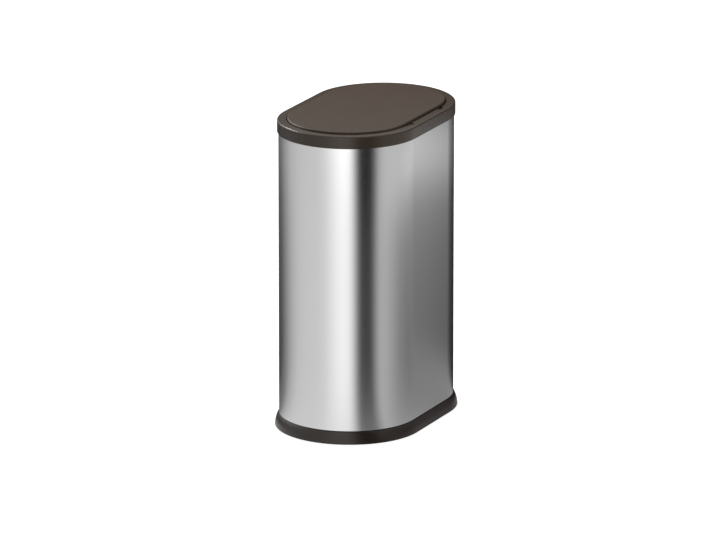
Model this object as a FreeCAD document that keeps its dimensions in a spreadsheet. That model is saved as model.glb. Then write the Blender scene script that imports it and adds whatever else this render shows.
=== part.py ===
"""Lidded kitchen trash can with a stadium plan: two straight sides and two round ends.

Frame: millimetres, +Z up, the floor at Z = 0 and the origin under the middle of the can.
The lid's front edge faces -Y, and its hinge runs along +Y.
"""
import FreeCAD, Part
import math
import os
import Sketcher

doc = FreeCAD.newDocument("trash_can")
sheet = doc.addObject("Spreadsheet::Sheet", "Sizes")

SIZES = (
    # Plan, shared by every piece: ends of a given radius about two centres on the X axis
    ("straight_half", 74.0, "half length of the straight sides"),
    ("shell_radius", 134.0, "outer end radius of the steel body"),
    # Steel body
    ("shell_sheet", 0.8, "sheet thickness"),
    ("shell_height", 576.0, "from the seat in the base to the rolled rim"),
    ("rim_width", 3.0, "rolled rim, across the wall"),
    ("rim_height", 4.0, "rolled rim, along the wall"),
    ("rim_round", 1.2, "rounding of the rolled rim"),
    ("fit_gap", 0.2, "clearance between pieces that slip together"),
    # Base
    ("floor_gap", 1.0, "lower edge of the skirt above the floor"),
    ("skirt_height", 23.0, "height of the flared skirt"),
    ("skirt_lip", 0.7, "top of the skirt outside the steel"),
    ("skirt_flare", 7.4, "how far the skirt flares out below its lip"),
    ("skirt_wall", 3.4, "wall of the skirt at the floor"),
    ("pad_height", 3.2, "foot pads, and so the underside of the seat"),
    ("pad_diameter", 12.0, "foot pads"),
    ("pad_inset", 8.0, "pad and screw centres inside the steel's outer face"),
    ("seat_thickness", 2.8, "shelf that the shell and the pan stand on"),
    ("seat_width", 16.0, "shelf, inwards from the steel's outer face"),
    ("floor_sheet", 1.2, "thickness of the steel pan"),
    ("floor_rim", 10.0, "height of the pan's upturned rim"),
    ("base_screw_x", 34.0, "base screws along the straight sides"),
    ("base_screw_length", 5.5, "base screws under the head"),
    # Screws
    ("screw_head", 6.0, "head diameter"),
    ("screw_head_height", 1.8, "head height"),
    ("screw_shank", 2.9, "shank diameter"),
    ("screw_gap", 0.3, "clearance hole, each side of the shank"),
    ("pilot_gap", 0.05, "pilot hole, each side of the shank"),
    # Inner bucket
    ("bucket_lift", 5.0, "underside of the bucket above the pan"),
    ("bucket_gap", 8.0, "top of the bucket inside the steel's outer face"),
    ("bucket_taper", 12.0, "how much the bucket narrows on each side"),
    ("bucket_wall", 2.0, "bucket wall"),
    ("bucket_floor", 2.5, "bucket floor"),
    ("bucket_corner", 4.0, "rounding round the bucket's underside"),
    ("flange_thickness", 2.5, "flange that hangs on the rolled rim"),
    ("flange_inset", 0.4, "edge of the flange inside the steel's outer face"),
    # Collar and its frame
    ("collar_gap", 0.4, "collar skirt outside the steel"),
    ("collar_wall", 2.0, "collar skirt"),
    ("collar_overlap", 6.7, "collar skirt below the rolled rim"),
    ("collar_round", 3.0, "rounding of the collar's outer top edge"),
    ("ledge_width", 17.5, "ledge round the lid"),
    ("ledge_thickness", 2.5, "ledge plate"),
    ("opening_wall", 2.5, "wall down from the ledge's inner edge"),
    ("boss_height", 7.9, "from the frame to the ledge's underside"),
    ("boss_diameter", 7.5, "screw bosses under the ledge"),
    ("collar_screw_x", 22.0, "collar screws along the straight sides"),
    ("collar_screw_length", 8.0, "collar screws under the head"),
    ("frame_thickness", 4.0, "ring under the collar"),
    ("frame_reach", 17.9, "ring, inwards from the ledge's inner edge"),
    ("counterbore_depth", 2.5, "pockets for screw heads under the ring"),
    ("counterbore_gap", 0.5, "pocket, each side of the head"),
    # Hinge
    ("hinge_x", 62.0, "middle of each lid ear"),
    ("hinge_setback", 3.1, "hinge axis outside the ledge's inner edge"),
    ("hinge_drop", 5.0, "hinge axis below the ledge"),
    ("ear_width", 12.0, "lid ears along the hinge"),
    ("ear_radius", 3.6, "rounded end of the ears"),
    ("ear_root", 7.6, "root of the ears inside the lid's edge"),
    ("ear_side_gap", 0.5, "each side of an ear"),
    ("ear_back_gap", 1.0, "behind an ear"),
    ("notch_taper", 18.0, "run-out of the notch along the round end"),
    ("cheek_width", 8.0, "each cheek of a hinge block"),
    ("block_back", 4.2, "wall behind the ear"),
    ("block_top_gap", 0.1, "hinge block below the ledge"),
    ("block_pocket_gap", 0.3, "round the hinge block in the collar"),
    ("pin_diameter", 3.5, "hinge pins"),
    ("pin_gap", 0.06, "running clearance of a pin in its block, each side"),
    ("pin_fit", 0.02, "clearance of a pin in its ear, each side"),
    ("pin_inset", 0.5, "ends of a pin inside its block"),
    ("hinge_screw_inset", 3.2, "hinge screws inside the back of a block"),
    ("hinge_screw_length", 7.0, "hinge screws under the head"),
    # Lid
    ("lid_gap", 3.3, "gap between the lid and the ledge"),
    ("lid_rise", 3.5, "top of the lid above the ledge"),
    ("lid_plate", 2.4, "top plate"),
    ("lid_skirt", 6.0, "height of the lid's edge"),
    ("lid_wall", 2.2, "wall of the lid's edge"),
    ("lid_round", 2.0, "rounding of the lid's top edge"),
    ("pan_inset", 12.6, "inner pan inside the lid's edge"),
    ("pan_depth", 9.0, "inner pan below the top plate"),
    ("pan_floor", 2.0, "floor of the inner pan"),
    ("pan_wall", 2.0, "wall of the inner pan"),
    ("lid_boss", 8.0, "screw bosses under the top plate"),
    ("lid_screw_x", 56.0, "lid screws along the straight sides"),
    ("lid_screw_inset", 9.0, "lid screws inside the inner pan's edge"),
    ("lid_screw_length", 7.0, "lid screws under the head"),
    ("bumper_diameter", 7.0, "rubber posts under the lid's edge"),
    ("bumper_x", 50.0, "front posts along the straight side"),
    ("seat_play", 0.2, "lid above the posts and the latch magnet"),
    # Push latch
    ("latch_inset", 10.0, "latch axis inside the ledge's inner edge"),
    ("latch_depth", 22.0, "latch housing below the ring"),
    ("latch_wall", 2.4, "latch housing wall"),
    ("latch_floor", 2.0, "latch housing floor"),
    ("latch_flange", 2.0, "thickness of the latch's flange"),
    ("latch_flange_length", 32.0, "latch flange along the front"),
    ("latch_screw_x", 11.5, "latch screws from the latch axis"),
    ("latch_screw_length", 5.0, "latch screws under the head"),
    ("plunger_diameter", 7.0, "push rod"),
    ("plunger_gap", 0.1, "push rod in its housing, each side"),
    ("plunger_hole_gap", 0.4, "push rod in the ring, each side"),
    ("magnet_height", 2.0, "magnet on the push rod"),
    ("strike_length", 20.0, "strike plate along the front"),
    ("strike_width", 6.0, "strike plate across the front"),
    ("strike_sheet", 1.0, "strike plate thickness"),
    ("spring_length", 7.0, "latch spring, lid shut"),
    ("spring_wire", 0.7, "latch spring wire"),
    ("spring_diameter", 5.4, "latch spring, middle of the wire"),
    ("spring_pitch", 1.5, "latch spring, turn to turn"),
    # Making
    ("cut_over", 1.0, "how far cuts run past a face"),
    ("edge_reach", 0.01, "how near an edge lies to where it is looked for"),
)

for row, (alias, size, meaning) in enumerate(SIZES, start=1):
    sheet.set(f"A{row}", meaning)
    sheet.set(f"B{row}", str(size))
    sheet.setAlias(f"B{row}", alias)
doc.recompute()

# Heights above the floor
FLOOR = "0"
SEAT_TOP = "(Sizes.pad_height + Sizes.seat_thickness)"
SKIRT_TOP = "(Sizes.floor_gap + Sizes.skirt_height)"
PAN_TOP = f"({SEAT_TOP} + Sizes.floor_sheet)"
BUCKET_BOTTOM = f"({PAN_TOP} + Sizes.bucket_lift)"
SHELL_TOP = f"({SEAT_TOP} + Sizes.shell_height)"
FLANGE_TOP = f"({SHELL_TOP} + Sizes.flange_thickness)"
BORE_TOP = f"({FLANGE_TOP} + Sizes.counterbore_depth)"
FRAME_TOP = f"({FLANGE_TOP} + Sizes.frame_thickness)"
LEDGE_UNDER = f"({FRAME_TOP} + Sizes.boss_height)"
LEDGE_TOP = f"({LEDGE_UNDER} + Sizes.ledge_thickness)"
LID_TOP = f"({LEDGE_TOP} + Sizes.lid_rise)"
LID_UNDER = f"({LID_TOP} - Sizes.lid_plate)"
LID_EDGE = f"({LID_TOP} - Sizes.lid_skirt)"
LID_PAN_BOTTOM = f"({LID_UNDER} - Sizes.pan_depth)"
LID_PAN_FLOOR = f"({LID_PAN_BOTTOM} + Sizes.pan_floor)"
HINGE_Z = f"({LEDGE_TOP} - Sizes.hinge_drop)"
LATCH_BOTTOM = f"({FLANGE_TOP} - Sizes.latch_depth)"
LATCH_FLOOR = f"({LATCH_BOTTOM} + Sizes.latch_floor)"
PLUNGER_BOTTOM = f"({LATCH_FLOOR} + Sizes.spring_length)"
STRIKE_BOTTOM = f"({LID_UNDER} - Sizes.strike_sheet)"
MAGNET_TOP = f"({STRIKE_BOTTOM} - Sizes.seat_play)"
MAGNET_BOTTOM = f"({MAGNET_TOP} - Sizes.magnet_height)"

# End radii of the plan, from the outside in
SKIRT_LIP = "(Sizes.shell_radius + Sizes.skirt_lip)"
COLLAR_INNER = "(Sizes.shell_radius + Sizes.collar_gap)"
COLLAR_OUTER = f"({COLLAR_INNER} + Sizes.collar_wall)"
SHELL_INNER = "(Sizes.shell_radius - Sizes.shell_sheet)"
FOOT_LINE = "(Sizes.shell_radius - Sizes.pad_inset)"
BUCKET_TOP_RADIUS = "(Sizes.shell_radius - Sizes.bucket_gap)"
BUCKET_BOTTOM_RADIUS = f"({BUCKET_TOP_RADIUS} - Sizes.bucket_taper)"
OPENING = f"({COLLAR_OUTER} - Sizes.ledge_width)"
OPENING_BACK = f"({OPENING} + Sizes.opening_wall)"
BOSS_LINE = f"(({OPENING_BACK} + {COLLAR_INNER}) / 2)"
FRAME_INNER = f"({OPENING} - Sizes.frame_reach)"
LID_RADIUS = f"({OPENING} - Sizes.lid_gap)"
LID_INNER = f"({LID_RADIUS} - Sizes.lid_wall)"
BUMPER_LINE = f"({LID_RADIUS} - Sizes.lid_wall / 2)"
LID_PAN_RADIUS = f"({LID_RADIUS} - Sizes.pan_inset)"
LID_SCREW_LINE = f"({LID_PAN_RADIUS} - Sizes.lid_screw_inset)"

# Hinge and latch places
MIDDLE = "0"
HINGE_Y = f"({OPENING} + Sizes.hinge_setback)"
NOTCH_BACK = f"({HINGE_Y} + Sizes.ear_radius + Sizes.ear_back_gap)"
BLOCK_FRONT = f"({OPENING} + Sizes.fit_gap)"
BLOCK_REAR = f"({NOTCH_BACK} + Sizes.block_back)"
CHEEK_NEAR = "(Sizes.hinge_x - Sizes.ear_width / 2 - Sizes.ear_side_gap)"
CHEEK_FAR = "(Sizes.hinge_x + Sizes.ear_width / 2 + Sizes.ear_side_gap)"
BLOCK_NEAR = f"({CHEEK_NEAR} - Sizes.cheek_width)"
BLOCK_FAR = f"({CHEEK_FAR} + Sizes.cheek_width)"
LATCH_Y = f"(Sizes.latch_inset - {OPENING})"
PLUNGER_RADIUS = "(Sizes.plunger_diameter / 2)"
LATCH_BORE = f"({PLUNGER_RADIUS} + Sizes.plunger_gap)"
LATCH_RADIUS = f"({LATCH_BORE} + Sizes.latch_wall)"

# Screw radii
HEAD = "(Sizes.screw_head / 2)"
SHANK = "(Sizes.screw_shank / 2)"
CLEAR_HOLE = f"({SHANK} + Sizes.screw_gap)"
PILOT_HOLE = f"({SHANK} + Sizes.pilot_gap)"
COUNTERBORE = f"({HEAD} + Sizes.counterbore_gap)"
PIN = "(Sizes.pin_diameter / 2)"

# Skirt profile from the floor up: share of its height, and share of its flare
SKIRT_SHARES = ((0.0, 1.0), (0.25, 0.81), (0.5, 0.58), (0.75, 0.21), (1.0, 0.0))
# Where a screw or pad sits round an end, as shares of the line's radius across and along the can
DIAGONAL_SHARE = math.sqrt(0.5)
SIDES = (("left", -1), ("right", 1))
nodes = []


def value(expression):
    """Return what an expression of sheet cells comes to, in millimetres."""
    return float(sheet.evalExpression(expression))


def start(label):
    """Start the body of one piece, whose label names its file."""
    body = doc.addObject("PartDesign::Body", label)
    body.Label = label
    nodes.append(body)
    return body


def sketch_on(body, name, role, offset):
    """Start a sketch on one of the body's planes, moved along the plane's normal."""
    sketch = body.newObject("Sketcher::SketchObject", f"{body.Name}_{name}")
    plane = next(item for item in body.Origin.OriginFeatures if item.Role == role)
    sketch.AttachmentSupport = [(plane, "")]
    sketch.MapMode = "FlatFace"
    sketch.setExpression("AttachmentOffset.Base.z", offset)
    return sketch


def level(body, name, height):
    """Start a level sketch at a height above the floor."""
    return sketch_on(body, name, "XY_Plane", height)


def upright(body, name, x):
    """Start an upright sketch across the can at a place along it: its axes are Y and Z."""
    return sketch_on(body, name, "YZ_Plane", x)


def hold(sketch, constraint, expression):
    """Add a dimension to a sketch and tie it to the sheet."""
    index = sketch.addConstraint(constraint)
    name = f"size_{index}"
    sketch.renameConstraint(index, name)
    sketch.setExpression(f"Constraints.{name}", expression)


def hold_point(sketch, edge, point, x, y):
    """Tie a point of a sketch's edge to a place given by two expressions."""
    hold(sketch, Sketcher.Constraint("DistanceX", -1, 1, edge, point, value(x)), x)
    hold(sketch, Sketcher.Constraint("DistanceY", -1, 1, edge, point, value(y)), y)


def add_stadium(sketch, radius):
    """Draw the can's plan with a given end radius: two straight lines and two half circles."""
    half = "Sizes.straight_half"
    reach, across = value(half), value(radius)
    up = FreeCAD.Vector(0, 0, 1)
    quarter = math.pi / 2
    right = Part.Circle(FreeCAD.Vector(reach, 0, 0), up, across)
    left = Part.Circle(FreeCAD.Vector(-reach, 0, 0), up, across)
    first = sketch.GeometryCount
    sketch.addGeometry([
        Part.LineSegment(FreeCAD.Vector(-reach, across, 0), FreeCAD.Vector(reach, across, 0)),
        Part.ArcOfCircle(right, -quarter, quarter),
        Part.LineSegment(FreeCAD.Vector(reach, -across, 0), FreeCAD.Vector(-reach, -across, 0)),
        Part.ArcOfCircle(left, quarter, 3 * quarter),
    ], False)
    back, right_end, front, left_end = range(first, first + 4)
    sketch.addConstraint([
        Sketcher.Constraint("Tangent", back, 2, right_end, 2),
        Sketcher.Constraint("Tangent", right_end, 1, front, 1),
        Sketcher.Constraint("Tangent", front, 2, left_end, 2),
        Sketcher.Constraint("Tangent", left_end, 1, back, 1),
        Sketcher.Constraint("Equal", right_end, left_end),
        Sketcher.Constraint("PointOnObject", right_end, 3, -1),
        Sketcher.Constraint("Symmetric", right_end, 3, left_end, 3, -1, 1),
    ])
    hold(sketch, Sketcher.Constraint("DistanceX", -1, 1, right_end, 3, reach), half)
    hold(sketch, Sketcher.Constraint("Radius", right_end, across), radius)


def add_circles(sketch, places, radius):
    """Draw a circle of the same radius at each place."""
    for x, y in places:
        centre = FreeCAD.Vector(value(x), value(y), 0)
        edge = sketch.addGeometry(Part.Circle(centre, FreeCAD.Vector(0, 0, 1), value(radius)), False)
        hold_point(sketch, edge, 3, x, y)
        hold(sketch, Sketcher.Constraint("Radius", edge, value(radius)), radius)


def add_polygon(sketch, corners):
    """Draw a closed outline of straight lines through its corners."""
    points = [FreeCAD.Vector(value(x), value(y), 0) for x, y in corners]
    first = sketch.GeometryCount
    count = len(points)
    for index in range(count):
        sketch.addGeometry(Part.LineSegment(points[index], points[(index + 1) % count]), False)
    for index, (x, y) in enumerate(corners):
        following = first + (index + 1) % count
        sketch.addConstraint(Sketcher.Constraint("Coincident", first + index, 2, following, 1))
        hold_point(sketch, first + index, 1, x, y)


def pad(body, sketch, length):
    """Raise a sketch along its normal."""
    feature = body.newObject("PartDesign::Pad", f"{sketch.Name}_pad")
    feature.Profile = sketch
    feature.setExpression("Length", length)
    return feature


def pocket(body, sketch, depth):
    """Cut a sketch against its normal: down from a level one, towards -X from an upright one."""
    feature = body.newObject("PartDesign::Pocket", f"{sketch.Name}_cut")
    feature.Profile = sketch
    feature.setExpression("Length", depth)
    return feature


def loft(body, kind, name, sections, ruled):
    """Join plans of the can at several heights into one solid, added or cut away."""
    sketches = []
    for index, (height, radius) in enumerate(sections):
        sketch = level(body, f"{name}_{index}", height)
        add_stadium(sketch, radius)
        sketches.append(sketch)
    feature = body.newObject(kind, f"{body.Name}_{name}")
    feature.Profile = sketches[0]
    feature.Sections = sketches[1:]
    feature.Ruled = ruled
    return feature


def block(body, name, bottom, top, *radii):
    """Raise a plan of the can, or a ring between two plans, from one height to another."""
    sketch = level(body, name, bottom)
    for radius in radii:
        add_stadium(sketch, radius)
    return pad(body, sketch, f"{top} - {bottom}")


def clear(body, name, top, bottom, radius):
    """Cut a plan of the can away from one height down to another."""
    sketch = level(body, name, top)
    add_stadium(sketch, radius)
    return pocket(body, sketch, f"{top} - {bottom}")


def posts(body, name, bottom, top, places, radius):
    """Raise round posts from one height to another."""
    sketch = level(body, name, bottom)
    add_circles(sketch, places, radius)
    return pad(body, sketch, f"{top} - {bottom}")


def drill(body, name, top, bottom, places, radius):
    """Cut round holes from one height down to another."""
    sketch = level(body, name, top)
    add_circles(sketch, places, radius)
    return pocket(body, sketch, f"{top} - {bottom}")


def round_rim(body, feature, height, radius, size):
    """Round the edge of a plan at one height and end radius."""
    doc.recompute()
    reach = value("Sizes.edge_reach")
    rim = []
    for index, edge in enumerate(feature.Shape.Edges, start=1):
        middle = edge.valueAt((edge.FirstParameter + edge.LastParameter) / 2)
        past_end = max(abs(middle.x) - value("Sizes.straight_half"), 0)
        at_radius = abs(math.hypot(past_end, middle.y) - value(radius)) < reach
        if at_radius and edge.BoundBox.ZLength < reach and abs(middle.z - value(height)) < reach:
            rim.append(f"Edge{index}")
    rounded = body.newObject("PartDesign::Fillet", f"{feature.Name}_round")
    rounded.Base = (feature, rim)
    rounded.setExpression("Radius", size)
    return rounded


def both_ways(x, y):
    """Return the four places that mirror one place across the can's two middle planes."""
    return [(f"({along} * {x})", f"({across} * {y})") for along in (-1, 1) for across in (-1, 1)]


def at_ends(line):
    """Return the two places at the tips of the round ends on a line of a given end radius."""
    return [(f"({along} * (Sizes.straight_half + {line}))", MIDDLE) for along in (-1, 1)]


def on_diagonals(line):
    """Return the four places half way round each quarter of the ends."""
    along = f"(Sizes.straight_half + {DIAGONAL_SHARE} * {line})"
    return both_ways(along, f"({DIAGONAL_SHARE} * {line})")


BASE_SCREWS = both_ways("Sizes.base_screw_x", FOOT_LINE) + on_diagonals(FOOT_LINE)
FEET = both_ways("Sizes.straight_half", FOOT_LINE) + at_ends(FOOT_LINE)
COLLAR_SCREWS = both_ways("Sizes.collar_screw_x", BOSS_LINE) + on_diagonals(BOSS_LINE)
LID_SCREWS = both_ways("Sizes.lid_screw_x", LID_SCREW_LINE) + at_ends(LID_SCREW_LINE)
HINGE_SCREWS = [
    (f"({side} * {x})", f"({BLOCK_REAR} - Sizes.hinge_screw_inset)")
    for _, side in SIDES
    for x in (f"({BLOCK_NEAR} + Sizes.cheek_width / 2)", f"({BLOCK_FAR} - Sizes.cheek_width / 2)")
]
LATCH_SCREWS = [(f"({side} * Sizes.latch_screw_x)", LATCH_Y) for _, side in SIDES]
LATCH_AXIS = [(MIDDLE, LATCH_Y)]
BUMPERS = [(f"({side} * Sizes.bumper_x)", f"(-{BUMPER_LINE})") for _, side in SIDES] + at_ends(BUMPER_LINE)


def screws(label, places, seat, length):
    """Make a group of screws whose heads bear upwards on a seat."""
    body = start(label)
    posts(body, "heads", f"({seat} - Sizes.screw_head_height)", seat, places, HEAD)
    posts(body, "shanks", seat, f"({seat} + {length})", places, SHANK)


def make_shell():
    """Make the steel body: a straight tube with a rim rolled inwards."""
    body = start("body_shell")
    block(body, "tube", SEAT_TOP, SHELL_TOP, "Sizes.shell_radius", SHELL_INNER)
    rim_inner = "(Sizes.shell_radius - Sizes.rim_width)"
    rim = block(body, "rim", f"({SHELL_TOP} - Sizes.rim_height)", SHELL_TOP, "Sizes.shell_radius", rim_inner)
    inside = round_rim(body, rim, SHELL_TOP, rim_inner, "Sizes.rim_round")
    round_rim(body, inside, SHELL_TOP, "Sizes.shell_radius", "Sizes.rim_round")


def make_base():
    """Make the flared skirt, the pan on its seat, and the screws and pads under it."""
    body = start("base_skirt")
    sections = [
        (f"(Sizes.floor_gap + {rise} * Sizes.skirt_height)", f"({SKIRT_LIP} + {flare} * Sizes.skirt_flare)")
        for rise, flare in SKIRT_SHARES
    ]
    loft(body, "PartDesign::AdditiveLoft", "flare", sections, False)
    clear(body, "socket", SKIRT_TOP, SEAT_TOP, "(Sizes.shell_radius + Sizes.fit_gap)")
    clear(body, "mouth", SEAT_TOP, "(-Sizes.cut_over)", "(Sizes.shell_radius - Sizes.seat_width)")
    underside = f"({SKIRT_LIP} + Sizes.skirt_flare - Sizes.skirt_wall)"
    clear(body, "underside", "Sizes.pad_height", "(-Sizes.cut_over)", underside)
    drill(body, "screw_holes", SEAT_TOP, "(-Sizes.cut_over)", BASE_SCREWS, CLEAR_HOLE)

    pan = start("base_floor")
    outer = f"({SHELL_INNER} - Sizes.fit_gap)"
    rim_top = f"({PAN_TOP} + Sizes.floor_rim)"
    block(pan, "blank", SEAT_TOP, rim_top, outer)
    clear(pan, "dish", rim_top, PAN_TOP, f"({outer} - Sizes.floor_sheet)")
    drill(pan, "screw_holes", PAN_TOP, f"({SEAT_TOP} - Sizes.cut_over)", BASE_SCREWS, PILOT_HOLE)

    screws("base_screws", BASE_SCREWS, "Sizes.pad_height", "Sizes.base_screw_length")
    feet = start("foot_pads")
    posts(feet, "pads", FLOOR, "Sizes.pad_height", FEET, "(Sizes.pad_diameter / 2)")


def make_bucket():
    """Make the tapered inner bucket, which hangs by its flange on the rolled rim."""
    body = start("inner_bucket")
    outside = [(BUCKET_BOTTOM, BUCKET_BOTTOM_RADIUS), (SHELL_TOP, BUCKET_TOP_RADIUS)]
    outer = loft(body, "PartDesign::AdditiveLoft", "outside", outside, True)
    round_rim(body, outer, BUCKET_BOTTOM, BUCKET_BOTTOM_RADIUS, "Sizes.bucket_corner")
    block(body, "flange", SHELL_TOP, FLANGE_TOP, "(Sizes.shell_radius - Sizes.flange_inset)")
    inside = [
        (f"({BUCKET_BOTTOM} + Sizes.bucket_floor)", f"({BUCKET_BOTTOM_RADIUS} - Sizes.bucket_wall)"),
        (FLANGE_TOP, f"({BUCKET_TOP_RADIUS} - Sizes.bucket_wall)"),
    ]
    loft(body, "PartDesign::SubtractiveLoft", "inside", inside, True)


def make_collar():
    """Make the collar, with the hinge notches in its ledge, and the ring that closes it below."""
    body = start("top_collar")
    bottom = f"({SHELL_TOP} - Sizes.collar_overlap)"
    blank = block(body, "blank", bottom, LEDGE_TOP, COLLAR_OUTER)
    round_rim(body, blank, LEDGE_TOP, COLLAR_OUTER, "Sizes.collar_round")
    clear(body, "hollow", LEDGE_UNDER, f"({bottom} - Sizes.cut_over)", COLLAR_INNER)
    block(body, "opening_wall", FRAME_TOP, LEDGE_UNDER, OPENING_BACK, OPENING)
    posts(body, "bosses", FRAME_TOP, LEDGE_UNDER, COLLAR_SCREWS, "(Sizes.boss_diameter / 2)")
    clear(body, "opening", LEDGE_TOP, f"({LEDGE_UNDER} - Sizes.cut_over)", OPENING)
    pilot_top = f"({BORE_TOP} + Sizes.collar_screw_length + Sizes.fit_gap)"
    drill(body, "pilots", pilot_top, f"({FRAME_TOP} - Sizes.cut_over)", COLLAR_SCREWS, PILOT_HOLE)
    room = "Sizes.block_pocket_gap"
    for side, sign in SIDES:
        notch = level(body, f"notch_{side}", LEDGE_TOP)
        add_polygon(notch, [
            (f"({sign} * {CHEEK_NEAR})", LID_RADIUS),
            (f"({sign} * {CHEEK_NEAR})", NOTCH_BACK),
            (f"({sign} * {CHEEK_FAR})", NOTCH_BACK),
            (f"({sign} * ({CHEEK_FAR} + Sizes.notch_taper))", LID_RADIUS),
        ])
        pocket(body, notch, f"{LEDGE_TOP} - {FRAME_TOP}")
        recess = level(body, f"recess_{side}", LEDGE_UNDER)
        add_polygon(recess, [
            (f"({sign} * ({BLOCK_NEAR} - {room}))", LID_RADIUS),
            (f"({sign} * ({BLOCK_NEAR} - {room}))", f"({BLOCK_REAR} + {room})"),
            (f"({sign} * ({BLOCK_FAR} + {room}))", f"({BLOCK_REAR} + {room})"),
            (f"({sign} * ({BLOCK_FAR} + {room}))", LID_RADIUS),
        ])
        pocket(body, recess, f"{LEDGE_UNDER} - {FRAME_TOP}")

    ring = start("collar_frame")
    block(ring, "ring", FLANGE_TOP, FRAME_TOP, "Sizes.shell_radius", FRAME_INNER)
    below = f"({FLANGE_TOP} - Sizes.cut_over)"
    fixings = COLLAR_SCREWS + HINGE_SCREWS
    drill(ring, "counterbores", BORE_TOP, below, fixings, COUNTERBORE)
    drill(ring, "screw_holes", FRAME_TOP, below, fixings, CLEAR_HOLE)
    drill(ring, "latch_pilots", FRAME_TOP, below, LATCH_SCREWS, PILOT_HOLE)
    plunger_hole = f"({PLUNGER_RADIUS} + Sizes.plunger_hole_gap)"
    drill(ring, "plunger_hole", FRAME_TOP, below, LATCH_AXIS, plunger_hole)

    screws("collar_screws", COLLAR_SCREWS, BORE_TOP, "Sizes.collar_screw_length")
    bumpers = start("lid_bumpers")
    bumper_top = f"({LID_EDGE} - Sizes.seat_play)"
    posts(bumpers, "posts", FRAME_TOP, bumper_top, BUMPERS, "(Sizes.bumper_diameter / 2)")


def make_hinge():
    """Make a block and a pin for each lid ear, and the screws that hold the blocks."""
    top = f"({LEDGE_UNDER} - Sizes.block_top_gap)"
    for side, sign in SIDES:
        body = start(f"hinge_block_{side}")
        plan = level(body, "plan", FRAME_TOP)
        add_polygon(plan, [
            (f"({sign} * {BLOCK_NEAR})", BLOCK_FRONT),
            (f"({sign} * {CHEEK_NEAR})", BLOCK_FRONT),
            (f"({sign} * {CHEEK_NEAR})", NOTCH_BACK),
            (f"({sign} * {CHEEK_FAR})", NOTCH_BACK),
            (f"({sign} * {CHEEK_FAR})", BLOCK_FRONT),
            (f"({sign} * {BLOCK_FAR})", BLOCK_FRONT),
            (f"({sign} * {BLOCK_FAR})", BLOCK_REAR),
            (f"({sign} * {BLOCK_NEAR})", BLOCK_REAR),
        ])
        pad(body, plan, f"{top} - {FRAME_TOP}")
        own_screws = [place for place in HINGE_SCREWS if value(place[0]) * sign > 0]
        pilot_top = f"({BORE_TOP} + Sizes.hinge_screw_length + Sizes.fit_gap)"
        drill(body, "pilots", pilot_top, f"({FRAME_TOP} - Sizes.cut_over)", own_screws, PILOT_HOLE)
        middle = f"({sign} * Sizes.hinge_x)"
        half_block = f"(({BLOCK_FAR} - {BLOCK_NEAR}) / 2)"
        bore = upright(body, "bore", f"({middle} + {half_block} + Sizes.cut_over)")
        add_circles(bore, [(HINGE_Y, HINGE_Z)], f"({PIN} + Sizes.pin_gap)")
        pocket(body, bore, f"2 * ({half_block} + Sizes.cut_over)")

        pin = start(f"hinge_pin_{side}")
        half_pin = f"({half_block} - Sizes.pin_inset)"
        section = upright(pin, "section", f"({middle} - {half_pin})")
        add_circles(section, [(HINGE_Y, HINGE_Z)], PIN)
        pad(pin, section, f"2 * {half_pin}")
    screws("hinge_screws", HINGE_SCREWS, BORE_TOP, "Sizes.hinge_screw_length")


def make_latch():
    """Make the push latch under the front of the ring, and the plate that its magnet holds."""
    housing = start("latch_housing")
    posts(housing, "barrel", LATCH_BOTTOM, FLANGE_TOP, LATCH_AXIS, LATCH_RADIUS)
    under = f"({FLANGE_TOP} - Sizes.latch_flange)"
    flange = level(housing, "flange", under)
    half = "(Sizes.latch_flange_length / 2)"
    add_polygon(flange, [
        (f"(-{half})", f"({LATCH_Y} - {LATCH_RADIUS})"),
        (half, f"({LATCH_Y} - {LATCH_RADIUS})"),
        (half, f"({LATCH_Y} + {LATCH_RADIUS})"),
        (f"(-{half})", f"({LATCH_Y} + {LATCH_RADIUS})"),
    ])
    pad(housing, flange, "Sizes.latch_flange")
    drill(housing, "bore", FLANGE_TOP, LATCH_FLOOR, LATCH_AXIS, LATCH_BORE)
    drill(housing, "screw_holes", FLANGE_TOP, f"({under} - Sizes.cut_over)", LATCH_SCREWS, CLEAR_HOLE)
    screws("latch_screws", LATCH_SCREWS, under, "Sizes.latch_screw_length")

    spring = start("latch_spring")
    wire = sketch_on(spring, "wire", "XZ_Plane", f"(-{LATCH_Y})")
    wire_radius = "(Sizes.spring_wire / 2)"
    add_circles(wire, [("(Sizes.spring_diameter / 2)", f"({LATCH_FLOOR} + {wire_radius})")], wire_radius)
    coil = spring.newObject("PartDesign::AdditiveHelix", "latch_spring_coil")
    coil.Profile = wire
    coil.ReferenceAxis = (wire, ["V_Axis"])
    coil.Mode = "pitch-height-angle"
    coil.setExpression("Pitch", "Sizes.spring_pitch")
    coil.setExpression("Height", "Sizes.spring_length - Sizes.spring_wire")

    plunger = start("latch_plunger")
    posts(plunger, "rod", PLUNGER_BOTTOM, MAGNET_BOTTOM, LATCH_AXIS, PLUNGER_RADIUS)
    magnet = start("latch_magnet")
    posts(magnet, "disc", MAGNET_BOTTOM, MAGNET_TOP, LATCH_AXIS, PLUNGER_RADIUS)

    strike = start("strike_plate")
    plate = level(strike, "plate", STRIKE_BOTTOM)
    half_length, half_width = "(Sizes.strike_length / 2)", "(Sizes.strike_width / 2)"
    add_polygon(plate, [
        (f"(-{half_length})", f"({LATCH_Y} - {half_width})"),
        (half_length, f"({LATCH_Y} - {half_width})"),
        (half_length, f"({LATCH_Y} + {half_width})"),
        (f"(-{half_length})", f"({LATCH_Y} + {half_width})"),
    ])
    pad(strike, plate, "Sizes.strike_sheet")


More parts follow.
